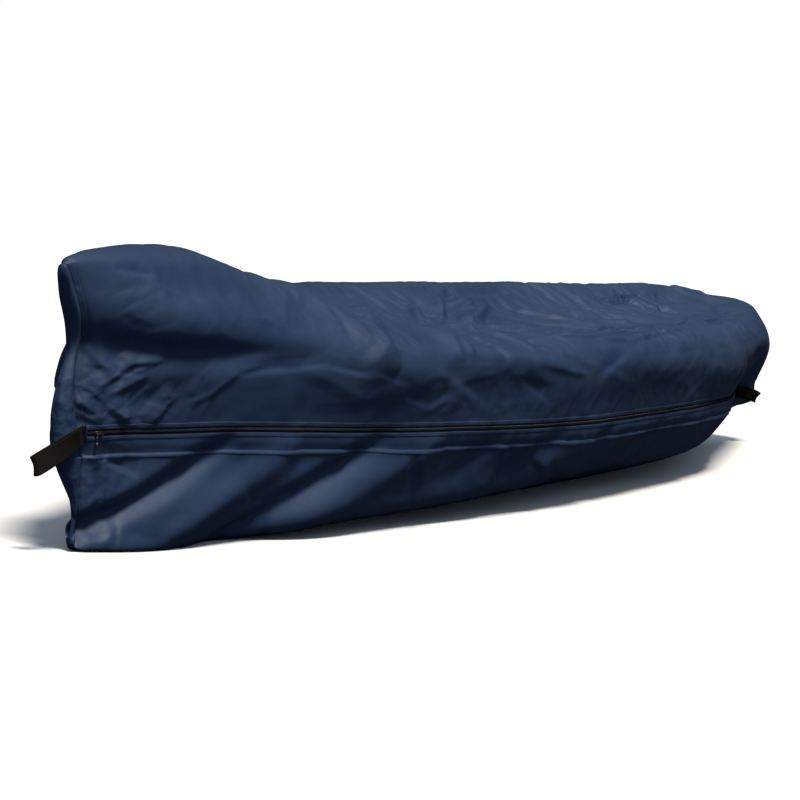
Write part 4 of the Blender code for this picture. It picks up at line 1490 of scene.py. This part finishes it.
def webbing_section():
    """Points of the strap's section: both faces from edge to edge, thicker at the selvages."""
    across = (WEBBING_WIDTH / 2) * np.sin(np.linspace(-1, 1, 19) * math.pi / 2)
    edge = np.abs(across) / (WEBBING_WIDTH / 2)
    half = (WEBBING / 2) * np.sqrt(np.clip(1 - edge**EDGE_POWER, 0, 1))
    half += SELVAGE * bell(edge - SELVAGE_AT, SELVAGE_REACH)
    half[[0, -1]] = 0
    face, back = np.stack((across, half), axis=-1), np.stack((across, -half), axis=-1)
    return np.concatenate((face, back[-2:0:-1]))


def loop_of_webbing(name, route, node):
    """Sweeps the section along the route, and sews two short bars of thread across its front."""
    middle, axes = loop_frames(route)
    section = webbing_section()
    grid = (middle[:, None] + section[None, :, :1] * axes[:, None, 1]
            + section[None, :, 1:] * axes[:, None, 2])
    strap = grid_piece(name, grid, webbing_finish, ring=True)
    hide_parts(node)
    places, directions = [], []
    across = np.linspace(-BARTACK_HALF, BARTACK_HALF, BARTACK_STITCHES)[:, None] * WEBBING_WIDTH
    for share in BARTACK_AT:
        k = round(share * (LOOP_STATIONS - 1))
        places.append(middle[k] + across * axes[k, 1] + (WEBBING / 2 + BARTACK_RISE) * axes[k, 2])
        directions.append(np.repeat(axes[k][None], len(across), axis=0))
    repeated(name + "_bartacks", SPINDLE * BARTACK_SIZE, SPINDLE_FACES,
             np.concatenate(places), np.concatenate(directions), thread_finish)
    print(f"{name}: {run(middle)[-1]:.3f} m of webbing, {len(strap.data.polygons) * 2} triangles")


loop_of_webbing("slack_loop", SLACK_STRAP, "slack_end_strap")
loop_of_webbing("filled_loop", FILLED_STRAP, "filled_end_strap")

# %% [markdown]
# ## Camera
# The camera stands low, about six metres before the slack end, and looks along the cover with a
# long lens, which sets how fast the cover narrows with distance. It could be pointed with a
# constraint, but three angles and a place can be read and changed, and nothing else moves it. The
# place, the angles and the lens come from a fit of the cover's edges to the photograph, rounded.

# %% Set up the camera
CAMERA_AT = (-8.426, -2.98, 0.87)
YAW, PITCH, ROLL = math.radians(20.8), math.radians(-4.3), math.radians(5.6)
LENS = 150
FURTHEST_SEEN = 200


def look(yaw, pitch, roll):
    """Axes as a rotation: right, up and back, from the turn round Z, the tilt and the roll."""
    level = math.cos(pitch)
    forward = np.array((math.cos(yaw) * level, math.sin(yaw) * level, math.sin(pitch)))
    right = np.array((math.sin(yaw), -math.cos(yaw), 0))
    up = np.cross(right, forward)
    c, s = math.cos(roll), math.sin(roll)
    return np.array((c * right + s * up, c * up - s * right, -forward)).T


def turned(rotation, place=(0, 0, 0)):
    """The matrix that turns and places an object, as Blender wants it, column by column."""
    matrix = np.eye(4)
    matrix[:3, :3] = rotation
    matrix[:3, 3] = place
    return matrix.T


camera = placed("camera", bpy.data.cameras.new("camera"))
camera.data.lens = LENS
camera.data.clip_end = FURTHEST_SEEN
camera.matrix_world = turned(look(YAW, PITCH, ROLL), CAMERA_AT)
bpy.context.scene.camera = camera
print("camera:", LENS, "mm lens at", CAMERA_AT)

# %% [markdown]
# ## Floor, sky and key light
# The cover is photographed on a pale floor that runs into a pale backdrop. A plain white floor
# would throw light up under the cloth and lift its dark folds, so it is white only where the camera
# sees it, and dark for light that bounces. The sky is an even soft light in the same way.

# %% Lay the floor
PAPER_ONE = (0.91, 0.895, 0.86, 1)
PAPER_TWO = (0.94, 0.925, 0.89, 1)
PAPER_IN_BOUNCES = (0.008, 0.014, 0.030, 1)
FLOOR_HALF = 60
FLOOR_Z = -0.0004

paper = Finish("pale_paper", Roughness=0.9)
paper_seen = paper.mix(paper.noise(paper.place(), 0.6, 2.0), PAPER_ONE, PAPER_TWO)
in_view = paper.node("ShaderNodeLightPath", out="Is Camera Ray")
paper.set(Base_Color=paper.mix(in_view, PAPER_IN_BOUNCES, paper_seen))
floor_mesh = bpy.data.meshes.new("floor")
corners = [(x * FLOOR_HALF, y * FLOOR_HALF, FLOOR_Z)
           for x, y in ((-1, -1), (1, -1), (1, 1), (-1, 1))]
floor_mesh.from_pydata(corners, [], [(0, 1, 2, 3)])
floor_mesh.materials.append(paper.material)
floor = placed("floor", floor_mesh)
print("floor:", 2 * FLOOR_HALF, "m wide")

# %% Light the sky
SKY_LIGHT = (0.28, 0.34, 0.43, 1)
SKY_IN_SHEEN = (0.010, 0.015, 0.025, 1)
BACKDROP = (1, 1, 1, 1)

world = bpy.data.worlds.new("studio")
world.use_nodes = True
sky = Wiring(world.node_tree)
in_sheen, in_view = (sky.node("ShaderNodeLightPath", out=kind)
                     for kind in ("Is Glossy Ray", "Is Camera Ray"))
sky_colour = sky.mix(in_view, sky.mix(in_sheen, SKY_LIGHT, SKY_IN_SHEEN), BACKDROP)
sky.feed(sky.nodes["Background"].inputs["Color"], sky_colour)
bpy.context.scene.world = world
bpy.context.scene.view_settings.view_transform = "Standard"
print("sky:", SKY_LIGHT[:3])

# %% Hang the key light
KEY_COLOUR = (1.0, 0.94, 0.86)
KEY_STRENGTH = 3.9
KEY_YAW, KEY_HEIGHT = math.radians(-135), math.radians(68)
KEY_SPREAD = math.radians(14)     # the wider it is in the sky, the softer the shadow's edges

key = placed("key", bpy.data.lights.new("key", "SUN"))
key.data.energy, key.data.angle, key.data.color = KEY_STRENGTH, KEY_SPREAD, KEY_COLOUR
key.matrix_world = turned(look(KEY_YAW + math.pi, -KEY_HEIGHT, 0))
print("key light:", KEY_STRENGTH)
